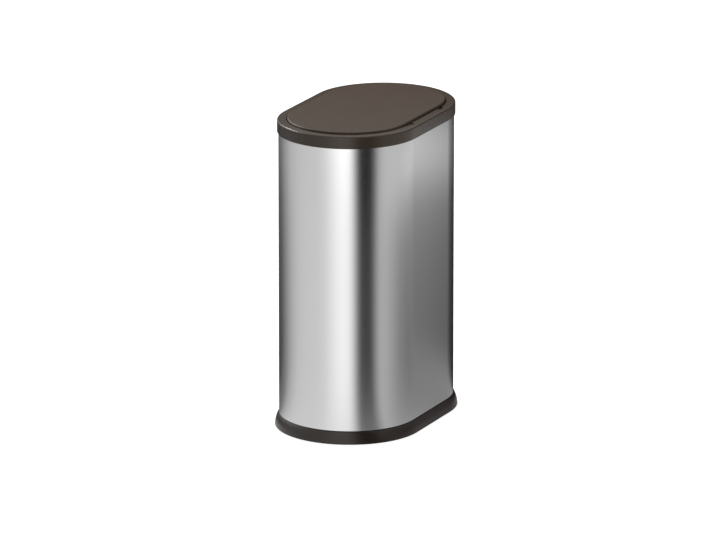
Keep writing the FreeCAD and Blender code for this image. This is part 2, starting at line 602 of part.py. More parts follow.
def make_lid():
    """Make the lid with its hinge ears, the pan that closes it below, and their screws."""
    body = start("lid_panel")
    blank = block(body, "blank", LID_EDGE, LID_TOP, LID_RADIUS)
    round_rim(body, blank, LID_TOP, LID_RADIUS, "Sizes.lid_round")
    clear(body, "hollow", LID_UNDER, f"({LID_EDGE} - Sizes.cut_over)", LID_INNER)
    posts(body, "bosses", LID_PAN_FLOOR, LID_UNDER, LID_SCREWS, "(Sizes.lid_boss / 2)")
    pilot_top = f"({LID_PAN_BOTTOM} + Sizes.lid_screw_length + Sizes.fit_gap)"
    drill(body, "pilots", pilot_top, f"({LID_PAN_FLOOR} - Sizes.cut_over)", LID_SCREWS, PILOT_HOLE)
    ear_bottom, ear_top = f"({HINGE_Z} - Sizes.ear_radius)", f"({HINGE_Z} + Sizes.ear_radius)"
    root = f"({LID_RADIUS} - Sizes.ear_root)"
    skirt_middle = f"({LID_RADIUS} - Sizes.lid_wall / 2)"
    plate_middle = f"({LID_TOP} - Sizes.lid_plate / 2)"
    for side, sign in SIDES:
        near_face = f"({sign} * Sizes.hinge_x - Sizes.ear_width / 2)"
        web = upright(body, f"ear_web_{side}", near_face)
        add_polygon(web, [
            (root, ear_bottom),
            (HINGE_Y, ear_bottom),
            (HINGE_Y, ear_top),
            (skirt_middle, ear_top),
            (skirt_middle, plate_middle),
            (root, plate_middle),
        ])
        pad(body, web, "Sizes.ear_width")
        nose = upright(body, f"ear_nose_{side}", near_face)
        add_circles(nose, [(HINGE_Y, HINGE_Z)], "Sizes.ear_radius")
        pad(body, nose, "Sizes.ear_width")
    half_span = "(Sizes.hinge_x + Sizes.ear_width / 2 + Sizes.cut_over)"
    bores = upright(body, "pin_bores", half_span)
    add_circles(bores, [(HINGE_Y, HINGE_Z)], f"({PIN} + Sizes.pin_fit)")
    pocket(body, bores, f"2 * {half_span}")

    pan = start("lid_underpan")
    block(pan, "blank", LID_PAN_BOTTOM, LID_UNDER, LID_PAN_RADIUS)
    clear(pan, "dish", LID_UNDER, LID_PAN_FLOOR, f"({LID_PAN_RADIUS} - Sizes.pan_wall)")
    drill(pan, "screw_holes", LID_PAN_FLOOR, f"({LID_PAN_BOTTOM} - Sizes.cut_over)", LID_SCREWS, CLEAR_HOLE)
    screws("lid_screws", LID_SCREWS, LID_PAN_BOTTOM, "Sizes.lid_screw_length")


make_shell()
make_base()
make_bucket()
make_collar()
make_hinge()
make_latch()
make_lid()
doc.recompute()

for item in doc.Objects:
    if "Invalid" in item.State or "Error" in item.State:
        raise RuntimeError(f"{item.Name} failed: {item.State}")
for node in nodes:
    if node.Shape.isNull() or not node.Shape.isValid():
        raise RuntimeError(f"{node.Label} has no valid shape")

os.makedirs("parts", exist_ok=True)
for node in nodes:
    node.Shape.exportStep(f"parts/{node.Label}.step")
    print(f"{node.Label}: {len(node.Shape.Solids)} solid(s), {node.Shape.Volume:.1f} mm3")
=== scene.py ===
"""Studio scene of a lidded kitchen trash can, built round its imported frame.

Sizes in the classes are millimetres, as on a maker's drawing. Meshes are metres, in the frame's axes:
the lid's front edge faces -Y, its hinge runs along +Y, and the floor is at Z = 0.
"""

import logging
import math
from collections.abc import Mapping, Sequence
from dataclasses import dataclass, field
from enum import Enum
from typing import Any

import bmesh
import bpy
from bmesh.types import BMEdge, BMesh, BMFace, BMVert
from bpy.types import ID, Material, Mesh, Node, NodeSocket, NodeTree, Object
from mathutils import Matrix, Vector

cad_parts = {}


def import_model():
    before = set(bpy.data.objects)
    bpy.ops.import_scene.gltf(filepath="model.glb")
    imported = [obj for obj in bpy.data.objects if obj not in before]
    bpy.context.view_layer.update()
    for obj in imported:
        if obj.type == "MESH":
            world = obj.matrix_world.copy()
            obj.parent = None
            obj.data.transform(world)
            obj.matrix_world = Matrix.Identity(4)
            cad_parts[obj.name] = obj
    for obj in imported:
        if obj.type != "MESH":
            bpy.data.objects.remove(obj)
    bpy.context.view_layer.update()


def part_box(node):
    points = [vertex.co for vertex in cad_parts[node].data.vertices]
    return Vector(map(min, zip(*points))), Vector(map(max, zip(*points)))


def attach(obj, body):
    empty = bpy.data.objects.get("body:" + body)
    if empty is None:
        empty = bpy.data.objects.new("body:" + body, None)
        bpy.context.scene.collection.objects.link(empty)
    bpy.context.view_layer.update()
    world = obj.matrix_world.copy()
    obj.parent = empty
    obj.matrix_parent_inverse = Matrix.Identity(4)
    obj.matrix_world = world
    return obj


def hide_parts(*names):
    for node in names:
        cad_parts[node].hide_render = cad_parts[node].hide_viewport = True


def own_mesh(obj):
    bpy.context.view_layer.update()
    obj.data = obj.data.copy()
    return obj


LOG = logging.getLogger("trash_can")

Inputs = Mapping[str | int, Any]
Places = list[tuple[float, float]]

MM = 0.001
X_AXIS = Vector((1.0, 0.0, 0.0))
Y_AXIS = Vector((0.0, 1.0, 0.0))
UP = Vector((0.0, 0.0, 1.0))
ORIGIN = Vector((0.0, 0.0, 0.0))
SIDES = (-1, 1)
ARC_STEPS = 64  # facets round each half-round end of the plan
TURN_STEPS = 32  # facets round a turned piece
WIRE_STEPS = 10  # facets round the spring's wire
ROUND_STEPS = 4  # facets across a rounded corner
SOFT_STEPS = 2  # facets across a softened edge
MERGE_DISTANCE = 1e-6  # points nearer than this are one, in metres
SHARP_ANGLE = math.radians(40)  # edges that turn further than this stay sharp
OVERLAP = 1.0  # how far cutting and joining shapes run past a face, in millimetres
WHITE = (1.0, 1.0, 1.0, 1.0)
NEAR_UP = (0.02, 0.01, 1.0)  # all but upright, so that even a level face has a direction square to it
QUARTER_TURN = 0.25  # as a share of a full turn


class Body(Enum):
    """The frame's bodies that pieces ride on."""

    CAN = "can"
    BUCKET = "bucket"
    TOP = "top"
    PLUNGER = "plunger"
    LID = "lid"


class Slot(Enum):
    """The record's material slots."""

    SATIN_STEEL = "satin_steel"
    PAN_STEEL = "pan_steel"
    ZINC_STEEL = "zinc_steel"
    SPRING_STEEL = "spring_steel"
    MAGNET = "magnet"
    COLLAR_PLASTIC = "collar_plastic"
    LID_PLASTIC = "lid_plastic"
    BASE_PLASTIC = "base_plastic"
    FRAME_PLASTIC = "frame_plastic"
    BUCKET_PLASTIC = "bucket_plastic"
    ACETAL = "acetal"
    RUBBER = "rubber"


class Carve(Enum):
    """How one closed shape works on another."""

    CUT = "DIFFERENCE"
    JOIN = "UNION"


class Edge(float, Enum):
    """Roundings that the pieces' edges share, in millimetres."""

    CUT = 0.2
    CRISP = 0.3
    FINE = 0.4
    SMALL = 0.5
    EASED = 0.6
    MILD = 0.7
    SOFT = 0.8
    ROUND = 0.9
    LARGE = 1.0
    FULL = 1.2
    BROAD = 1.5


class Grain(Enum):
    """Length, depth and height of one mark of a metal's finish, in millimetres along X, Y and Z."""

    # Belt marks run level round the can. Real ones are 0.1 mm, too fine to show, so these are coarser
    BRUSHED = (120.0, 120.0, 0.7)
    # Streaks of the rolling mill along the sheet
    ROLLED = (45.0, 6.0, 6.0)
    # Cloudiness of a plating bath
    PLATED = (1.5, 1.5, 1.5)


def linear(colour: str) -> tuple[float, float, float, float]:
    """Turn an sRGB hex colour into linear light, by the sRGB standard's curve.

    Args:
        colour: six hex digits.

    Returns:
        Red, green, blue and an alpha of 1.
    """
    shares = [int(colour[place:place + 2], 16) / 255 for place in (0, 2, 4)]
    red, green, blue = (
        share / 12.92 if share <= 0.04045 else ((share + 0.055) / 1.055) ** 2.4 for share in shares
    )
    return red, green, blue, 1.0


def add_node(tree: NodeTree, kind: str, inputs: Inputs | None = None, **settings: Any) -> Node:
    """Add a shader node, set it up and link it.

    Args:
        tree: node tree that gets the node.
        kind: Blender's name for the node's type.
        inputs: socket name or index, with a value or the socket that feeds it.
        settings: attributes of the node.

    Returns:
        The new node.
    """
    node = tree.nodes.new(kind)
    for name, setting in settings.items():
        setattr(node, name, setting)
    for key, value in (inputs or {}).items():
        if isinstance(value, NodeSocket):
            tree.links.new(value, node.inputs[key])
        else:
            node.inputs[key].default_value = value
    return node


def new_material(name: str) -> tuple[Material, NodeTree]:
    """Start an empty node material, and return it with its node tree."""
    material = bpy.data.materials.new(name)
    material.use_nodes = True
    material.node_tree.nodes.clear()
    return material, material.node_tree


@dataclass(frozen=True)
class Finish:
    """What a piece is made of and how its surface was made."""

    name: str  # common name of the material and of its surface
    slot: Slot  # slot of the record that it fills
    colour: str  # main colour, sRGB hex
    second: str  # colour of its clouds or marks, sRGB hex
    roughness: float  # microscopic roughness

    def material(self) -> Material:
        """Return the finish as a node material, made on first use."""
        known = bpy.data.materials.get(self.name)
        if known:
            return known
        material, tree = new_material(self.name)
        place = add_node(tree, "ShaderNodeTexCoord").outputs["Object"]
        shader = add_node(tree, "ShaderNodeBsdfPrincipled", self.surface(tree, place))
        add_node(tree, "ShaderNodeOutputMaterial", {"Surface": shader.outputs["BSDF"]})
        return material

    def surface(self, tree: NodeTree, place: NodeSocket) -> dict[str, Any]:
        """Add the nodes of the surface.

        Args:
            tree: node tree of the material.
            place: place on the piece.

        Returns:
            Inputs of the material's shader.
        """
        raise NotImplementedError

    def varied(self, tree: NodeTree, tint: NodeSocket, sheen: NodeSocket, swing: float) -> dict[str, Any]:
        """Vary colour and roughness over the surface.

        Args:
            tree: node tree of the material.
            tint: how far the colour goes to the second one.
            sheen: how far the roughness goes through its swing.
            swing: how far the roughness goes either way.

        Returns:
            The shader's inputs for both.
        """
        ends = {6: linear(self.colour), 7: linear(self.second)}
        colour = add_node(tree, "ShaderNodeMix", {"Factor": tint, **ends}, data_type="RGBA").outputs[2]
        limits = {"To Min": self.roughness - swing, "To Max": self.roughness + swing}
        roughness = add_node(tree, "ShaderNodeMapRange", {"Value": sheen, **limits}).outputs["Result"]
        return {"Base Color": colour, "Roughness": roughness}


@dataclass(frozen=True)
class Plastic(Finish):
    """A moulded plastic or rubber with a spark-eroded skin and faint clouds left by the melt's flow."""

    ior: float = 1.49  # refractive index of the polymer
    shine: float = 0.5  # specular level, lower for a skin whose pits trap the gloss
    grit: float = 1.4  # size of the skin's pits, drawn coarse, as real ones of 0.1 mm are too fine to show
    depth: float = 0.02  # depth of the pits
    cloud: float = 70.0  # size of the flow clouds
    swing: float = 0.06  # how far the roughness varies over the pits

    def surface(self, tree: NodeTree, place: NodeSocket) -> dict[str, Any]:
        """Add the pits and the flow clouds.

        Args:
            tree: node tree of the material.
            place: place on the piece.

        Returns:
            Inputs of the material's shader.
        """
        clouds, pits = (
            add_node(
                tree, "ShaderNodeTexNoise", {"Vector": place, "Scale": 1 / (size * MM), "Detail": detail},
            ).outputs["Fac"]
            for size, detail in ((self.cloud, 3.0), (self.grit, 2.0))
        )
        relief = add_node(
            tree, "ShaderNodeBump", {"Height": pits, "Distance": self.depth * MM, "Strength": 1.0},
        ).outputs["Normal"]
        inputs = self.varied(tree, clouds, pits, self.swing)
        return inputs | {"Normal": relief, "IOR": self.ior, "Specular IOR Level": self.shine}


@dataclass(frozen=True)
class Metal(Finish):
    """A metal whose grain follows from how its surface was worked."""

    grain: Grain  # how the finish's marks lie
    anisotropy: float = 0.0  # how far reflections stretch across the marks
    swing: float = 0.02  # how far the roughness varies over the marks

    def surface(self, tree: NodeTree, place: NodeSocket) -> dict[str, Any]:
        """Add the marks.

        Args:
            tree: node tree of the material.
            place: place on the piece.

        Returns:
            Inputs of the material's shader.
        """
        per_mark = tuple(1 / (size * MM) for size in self.grain.value)
        stretched = add_node(tree, "ShaderNodeMapping", {"Vector": place, "Scale": per_mark}).outputs[0]
        marks = add_node(
            tree, "ShaderNodeTexNoise", {"Vector": stretched, "Scale": 1.0, "Detail": 4.0, "Roughness": 0.6},
        ).outputs["Fac"]
        inputs = self.varied(tree, marks, marks, self.swing) | {"Metallic": 1.0}
        if self.anisotropy:
            # The marks run level, square to the surface's normal and to an axis that is all but upright
            normal = add_node(tree, "ShaderNodeNewGeometry").outputs["Normal"]
            level = add_node(
                tree, "ShaderNodeVectorMath", {0: normal, 1: NEAR_UP}, operation="CROSS_PRODUCT",
            ).outputs["Vector"]
            inputs |= {"Tangent": level, "Anisotropic": self.anisotropy, "Anisotropic Rotation": QUARTER_TURN}
        return inputs


# Belt-ground stainless sheet: reflections keep sharp sides and smear up and down across the level marks
SATIN_STEEL = Metal("satin_stainless_steel", Slot.SATIN_STEEL, "C8C8C8", "C4C4C4", 0.25, Grain.BRUSHED, 0.6)
# Pressed zinc-coated sheet: dull, with streaks of the mill
PAN_STEEL = Metal("galvanised_sheet", Slot.PAN_STEEL, "B4B6B7", "9C9FA1", 0.42, Grain.ROLLED)
# Bright zinc plating on screws and pins: clean and slightly cloudy
ZINC_STEEL = Metal("zinc_plated_steel", Slot.ZINC_STEEL, "C3C6C9", "ABAEB2", 0.3, Grain.PLATED)
# Hard-drawn spring wire: bright with a grey cast
SPRING_STEEL = Metal("drawn_spring_steel", Slot.SPRING_STEEL, "A9AAAE", "97989C", 0.28, Grain.PLATED)
# Nickel plating on the magnet: warm and mirror-like
NICKEL = Metal("nickel_plate", Slot.MAGNET, "C4BFB6", "B6B1A8", 0.16, Grain.PLATED)
# Polypropylene moulded in a spark-eroded tool: matt brown, a soft sheen on its edges
LID_PLASTIC = Plastic("moulded_brown_polypropylene", Slot.LID_PLASTIC, "4D423A", "483D35", 0.48, shine=0.1)
# The collar's tool is finer, so that its edge shows a thin line of light
COLLAR_PLASTIC = Plastic(
    "moulded_brown_polypropylene_trim", Slot.COLLAR_PLASTIC, "4A3F35", "453A30", 0.28, shine=0.3, depth=0.01,
)
# The base is moulded from a darker batch, with a smoother skin
BASE_PLASTIC = Plastic(
    "moulded_umber_polypropylene", Slot.BASE_PLASTIC, "2C2019", "271B15", 0.3, shine=0.42, depth=0.01,
)
# Glass-filled polypropylene of the hidden ring: dry and nearly black
FRAME_PLASTIC = Plastic("glass_filled_polypropylene", Slot.FRAME_PLASTIC, "1F1D1C", "1A1817", 0.55, shine=0.3)
# The bucket's polypropylene is unpainted grey with a smoother wall
BUCKET_PLASTIC = Plastic(
    "moulded_grey_polypropylene", Slot.BUCKET_PLASTIC, "6A6966", "646360", 0.4, grit=2.2, depth=0.03,
)
# Acetal bearings: waxy black. The lid's hinge ears take it too, as painted shade that darkens their notches
ACETAL = Plastic("black_acetal", Slot.ACETAL, "141312", "100F0F", 0.5, ior=1.48, shine=0.3, depth=0.01)
# Rubber feet and posts: soft black, no gloss
RUBBER = Plastic("black_rubber", Slot.RUBBER, "1B1A1A", "161515", 0.75, ior=1.52, shine=0.3, depth=0.04)


@dataclass(frozen=True)
class Corner:
    """A corner of a drawn outline, in millimetres."""

    across: float  # place along the drawing's first axis, the end radius in a section of the can
    up: float  # place along the drawing's second axis, the height in a section of the can
    rounding: float = 0.0  # radius that the corner is rounded to


@dataclass(frozen=True)
class Extent:
    """What a node of the frame spans, in millimetres."""

    low: Vector  # lowest corner
    high: Vector  # highest corner

    @classmethod
    def of(cls, node: str) -> "Extent":
        """Return what a node spans."""
        low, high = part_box(node)
        return cls(low / MM, high / MM)

    @property
    def reach(self) -> float:
        """End radius of a node with the can's plan, taken at the front."""
        return -self.low.y

    @property
    def bottom(self) -> float:
        """Height of the underside."""
        return self.low.z

    @property
    def top(self) -> float:
        """Height of the top."""
        return self.high.z

    @property
    def middle(self) -> Vector:
        """Middle of the box."""
        return (self.low + self.high) / 2


def pair(x: float, y: float) -> Places:
    """Return a place and its mirror image on the can's other end."""
    return [(side * x, y) for side in SIDES]


def mirrored(corners: Sequence[Corner], side: int) -> list[Corner]:
    """Return an outline, or its mirror image for a side of -1, going round the same way."""
    return [Corner(side * corner.across, corner.up, corner.rounding) for corner in corners][::side]


def rectangle(half: float, deep: float, rounding: float) -> list[Corner]:
    """Return a rectangle's outline about its middle, from half its length, half its width and a rounding."""
    return [Corner(x * half, y * deep, rounding) for x, y in ((-1, -1), (1, -1), (1, 1), (-1, 1))]


def verts_of(geometry: Sequence[Any]) -> list[BMVert]:
    """Return the vertices among an operator's results."""
    return [item for item in geometry if isinstance(item, BMVert)]


def mesh_from(bm: BMesh, name: str) -> Mesh:
    """Turn a shape, which is used up, into a named mesh."""
    mesh = bpy.data.meshes.new(name)
    bm.to_mesh(mesh)
    bm.free()
    return mesh


def placed(name: str, data: ID) -> Object:
    """Put an object with a name and its data in the scene."""
    thing = bpy.data.objects.new(name, data)
    bpy.context.scene.collection.objects.link(thing)
    return thing


def draw(
    bm: BMesh, corners: Sequence[Corner], origin: Vector, across: Vector, up: Vector, closed: bool,
) -> None:
    """Draw an outline as a chain of edges with rounded corners.

    Args:
        bm: mesh that gets the chain.
        corners: the outline's corners in order.
        origin: where the drawing's axes start, in metres.
        across: direction of the first axis.
        up: direction of the second axis.
        closed: whether the last corner joins the first.
    """
    verts = [bm.verts.new(origin + (across * corner.across + up * corner.up) * MM) for corner in corners]
    for first, second in zip(verts, verts[1:]):
        bm.edges.new((first, second))
    if closed:
        bm.edges.new((verts[-1], verts[0]))
    for vert, corner in zip(verts, corners):
        if corner.rounding > 0:
            bmesh.ops.bevel(
                bm, geom=[vert], offset=corner.rounding * MM, offset_type="OFFSET", segments=ROUND_STEPS,
                profile=0.5, affect="VERTICES", clamp_overlap=False, material=-1,
            )


def close_up(bm: BMesh) -> None:
    """Merge doubles, fill open ends and turn the faces outwards."""
    bmesh.ops.remove_doubles(bm, verts=bm.verts, dist=MERGE_DISTANCE)
    rims = [edge for edge in bm.edges if edge.is_boundary]
    if rims:
        bmesh.ops.holes_fill(bm, edges=rims, sides=0)
    bmesh.ops.recalc_face_normals(bm, faces=bm.faces)


def turned(corners: Sequence[Corner]) -> BMesh:
    """Turn a section round the Z axis.

    Args:
        corners: the section from the axis out and back to it.

    Returns:
        A closed shape.
    """
    bm = bmesh.new()
    draw(bm, corners, ORIGIN, X_AXIS, UP, closed=False)
    bmesh.ops.spin(
        bm, geom=[*bm.verts, *bm.edges], cent=ORIGIN, axis=UP, dvec=ORIGIN, angle=2 * math.pi,
        steps=TURN_STEPS, use_merge=True, use_normal_flip=False, use_duplicate=False,
    )
    close_up(bm)
    return bm


def rod(radius: float, bottom: float, top: float, below: float = 0.0, above: float = 0.0) -> BMesh:
    """Turn a round rod on the Z axis.

    Args:
        radius: radius of the rod.
        bottom: height of its lower end.
        top: height of its upper end.
        below: rounding of the lower edge.
        above: rounding of the upper edge.

    Returns:
        A closed shape.
    """
    return turned([
        Corner(0, bottom), Corner(radius, bottom, below), Corner(radius, top, above), Corner(0, top),
    ])


def prism(corners: Sequence[Corner], origin: Vector, across: Vector, up: Vector, length: float) -> BMesh:
    """Extrude a closed outline square to its plane.

    Args:
        corners: the outline's corners in order.
        origin: where the drawing's axes start, in millimetres.
        across: direction of the first axis.
        up: direction of the second axis.
        length: length of the extrusion.

    Returns:
        A closed shape.
    """
    bm = bmesh.new()
    draw(bm, corners, origin * MM, across, up, closed=True)
    bmesh.ops.contextual_create(bm, geom=bm.edges[:])
    raised = bmesh.ops.extrude_face_region(bm, geom=bm.faces[:])["geom"]
    bmesh.ops.translate(bm, vec=across.cross(up) * length * MM, verts=verts_of(raised))
    close_up(bm)
    return bm


def moved(bm: BMesh, offset: Vector) -> BMesh:
    """Move a shape by an offset in millimetres, and return it."""
    bmesh.ops.translate(bm, vec=offset * MM, verts=bm.verts)
    return bm


def laid(bm: BMesh, side: int = 1) -> BMesh:
    """Lay a shape that stands on the Z axis along X, towards a side, and return it."""
    turn = Matrix.Rotation(side * math.pi / 2, 3, "Y")
    bmesh.ops.rotate(bm, cent=ORIGIN, matrix=turn, verts=bm.verts)
    return bm


def repeated(bm: BMesh, places: Places) -> BMesh:
    """Copy a shape that stands on the Z axis to each place.

    Args:
        bm: the shape.
        places: X and Y of each copy, in millimetres.

    Returns:
        The copies, without the first shape.
    """
    first = [*bm.verts, *bm.edges, *bm.faces]
    for x, y in places:
        copy = bmesh.ops.duplicate(bm, geom=first)["geom"]
        bmesh.ops.translate(bm, vec=Vector((x, y, 0)) * MM, verts=verts_of(copy))
    bmesh.ops.delete(bm, geom=verts_of(first), context="VERTS")
    return bm


def gathered(*shapes: BMesh) -> BMesh:
    """Put separate shapes into one mesh.

    Args:
        shapes: shapes that don't touch, which are used up.

    Returns:
        The mesh of them all.
    """
    whole = bmesh.new()
    for shape in shapes:
        mesh = mesh_from(shape, "gathered")
        whole.from_mesh(mesh)
        bpy.data.meshes.remove(mesh)
    return whole


def carved(shape: BMesh, tool: BMesh, how: Carve) -> BMesh:
    """Cut a closed shape from another, or join the two.

    Args:
        shape: the shape to work on, which is used up.
        tool: the shape that cuts or joins, which is used up.
        how: cut or join.

    Returns:
        The worked shape.
    """
    worked = [placed("worked", mesh_from(bm, "worked")) for bm in (shape, tool)]
    modifier = worked[0].modifiers.new("carve", "BOOLEAN")
    modifier.operation = how.value
    modifier.solver = "EXACT"
    modifier.object = worked[1]
    result = bmesh.new()
    result.from_object(worked[0], bpy.context.evaluated_depsgraph_get())
    for helper in worked:
        mesh = helper.data
        bpy.data.objects.remove(helper)
        bpy.data.meshes.remove(mesh)
    bmesh.ops.remove_doubles(result, verts=result.verts, dist=MERGE_DISTANCE)
    return result


def softened(bm: BMesh, size: float) -> BMesh:
    """Bevel a shape's sharp edges.

    Args:
        bm: the shape.
        size: width of the bevel in millimetres.

    Returns:
        The same shape.
    """
    edges = [edge for edge in bm.edges if edge.is_manifold and edge.calc_face_angle() > SHARP_ANGLE]
    bmesh.ops.bevel(
        bm, geom=edges, offset=size * MM, offset_type="OFFSET", segments=SOFT_STEPS, profile=0.5,
        affect="EDGES", clamp_overlap=True, material=-1,
    )
    return bm


def make_piece(bm: BMesh, name: str, body: Body, finish: Finish, node: str) -> Object:
    """Turn a shape into a finished piece that rides on its body.

    Args:
        bm: the shape, which is used up.
        name: name of the piece.
        body: body that it moves with.
        finish: what it is made of.
        node: node of the frame that it stands for.

    Returns:
        The piece.
    """
    mesh = mesh_from(bm, name)
    mesh.shade_smooth()
    mesh.set_sharp_from_angle(angle=SHARP_ANGLE)
    mesh.materials.append(finish.material())
    piece = placed(name, mesh)
    normals = piece.modifiers.new("even_normals", "WEIGHTED_NORMAL")
    normals.keep_sharp = True
    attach(piece, body.value)
    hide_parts(node)
    LOG.info("%s: %d faces, rides on %s", name, len(mesh.polygons), body.value)
    return piece


@dataclass(frozen=True)
class Plan:
    """The can's plan: two half-round ends joined by straight sides."""

    half: float  # half length of the straight sides

    @classmethod
    def from_frame(cls) -> "Plan":
        """Read the plan from the steel tube of the frame."""
        tube = Extent.of("body_shell")
        return cls(tube.high.x - tube.high.y)

    def trailed(self, corners: Sequence[Corner], closed: bool, steps: int = ARC_STEPS) -> BMesh:
        """Draw a section all the way round the plan.

        Args:
            corners: the section's end radii and heights in order.
            closed: whether the section closes on itself.
            steps: facets round each end.

        Returns:
            The walls that the section leaves behind, which an open one leaves open.
        """
        bm = bmesh.new()
        draw(bm, corners, X_AXIS * self.half * MM, -Y_AXIS, UP, closed)
        section: list[Any] = [*bm.verts, *bm.edges]
        for end in (self.half, -self.half):
            turn = bmesh.ops.spin(
                bm, geom=section, cent=X_AXIS * end * MM, axis=UP, dvec=ORIGIN, angle=math.pi,
                steps=steps, use_merge=False, use_normal_flip=False, use_duplicate=False,
            )["geom_last"]
            edges = [item for item in turn if isinstance(item, BMEdge)]
            run = bmesh.ops.extrude_edge_only(bm, edges=edges)["geom"]
            bmesh.ops.translate(bm, vec=X_AXIS * -2 * end * MM, verts=verts_of(run))
            section = [item for item in run if not isinstance(item, BMFace)]
        bmesh.ops.remove_doubles(bm, verts=bm.verts, dist=MERGE_DISTANCE)
        return bm

    def swept(self, corners: Sequence[Corner], closed: bool = True) -> BMesh:
        """Sweep a section round the plan.

        Args:
            corners: the section's end radii and heights in order.
            closed: whether the section closes on itself. The ends of an open one are filled across the can.

        Returns:
            A closed shape.
        """
        bm = self.trailed(corners, closed)
        close_up(bm)
        return bm

    def reach_of(self, place: Vector) -> float:
        """Return the end radius of the line through a place, which is in metres."""
        return math.hypot(max(abs(place.x) / MM - self.half, 0.0), place.y / MM)

    def both_ways(self, x: float, y: float) -> Places:
        """Return the four places that mirror one place across the can."""
        return [(along * x, over * y) for along in SIDES for over in SIDES]

    def at_ends(self, line: float) -> Places:
        """Return the tips of the round ends on a line of a given end radius."""
        return pair(self.half + line, 0.0)

    def on_diagonals(self, line: float) -> Places:
        """Return the places half way round each quarter of the ends."""
        share = math.sqrt(0.5) * line
        return self.both_ways(self.half + share, share)


@dataclass(frozen=True)
class Screw:
    """A pan-head screw with a cross recess, driven upwards."""

    head: float = 3.0  # radius of the head
    head_height: float = 1.8
    head_round: float = 1.2  # rounding of the head's outer edge
    shank: float = 1.45  # radius of the shank
    point: float = 1.2  # length of the tapered point
    tip_share: float = 1 / 3  # radius of the point's tip, as a share of the shank's
    recess_reach: float = 1.7  # reach of the recess's arms
    recess_half: float = 0.42  # half width of the recess's arms
    recess_depth: float = 1.0
    play: float = 0.3  # room round the shank in a clearance hole

    @property
    def hole(self) -> float:
        """Radius of a clearance hole."""
        return self.shank + self.play

    def shape(self, bottom: float, top: float) -> BMesh:
        """Make one screw on the Z axis.

        Args:
            bottom: height of the head's outer face.
            top: height of the point.

        Returns:
            A closed shape.
        """
        seat = bottom + self.head_height
        blank = turned([
            Corner(0, bottom), Corner(self.head, bottom, self.head_round), Corner(self.head, seat),
            Corner(self.shank, seat), Corner(self.shank, top - self.point),
            Corner(self.shank * self.tip_share, top), Corner(0, top),
        ])
        reach, half = self.recess_reach, self.recess_half
        arms = [
            Corner(half, half), Corner(half, reach), Corner(-half, reach), Corner(-half, half),
            Corner(-reach, half), Corner(-reach, -half), Corner(-half, -half), Corner(-half, -reach),
            Corner(half, -reach), Corner(half, -half), Corner(reach, -half), Corner(reach, half),
        ]
        cross = prism(arms, UP * (bottom - OVERLAP), X_AXIS, Y_AXIS, self.recess_depth + OVERLAP)
        return carved(blank, cross, Carve.CUT)

    def clearance(self, bottom: float, top: float, places: Places) -> BMesh:
        """Return round cutters for the shanks' clearance holes at each place."""
        return repeated(rod(self.hole, bottom - OVERLAP, top + OVERLAP), places)

    def group(self, name: str, body: Body, node: str, places: Places) -> Object:
        """Make the screws that stand for one node.

        Args:
            name: name of the piece.
            body: body that the screws move with.
            node: node of the frame, which gives their heights.
            places: X and Y of each screw.

        Returns:
            The piece.
        """
        span = Extent.of(node)
        shape = repeated(self.shape(span.bottom, span.top), places)
        return make_piece(shape, name, body, ZINC_STEEL, node)


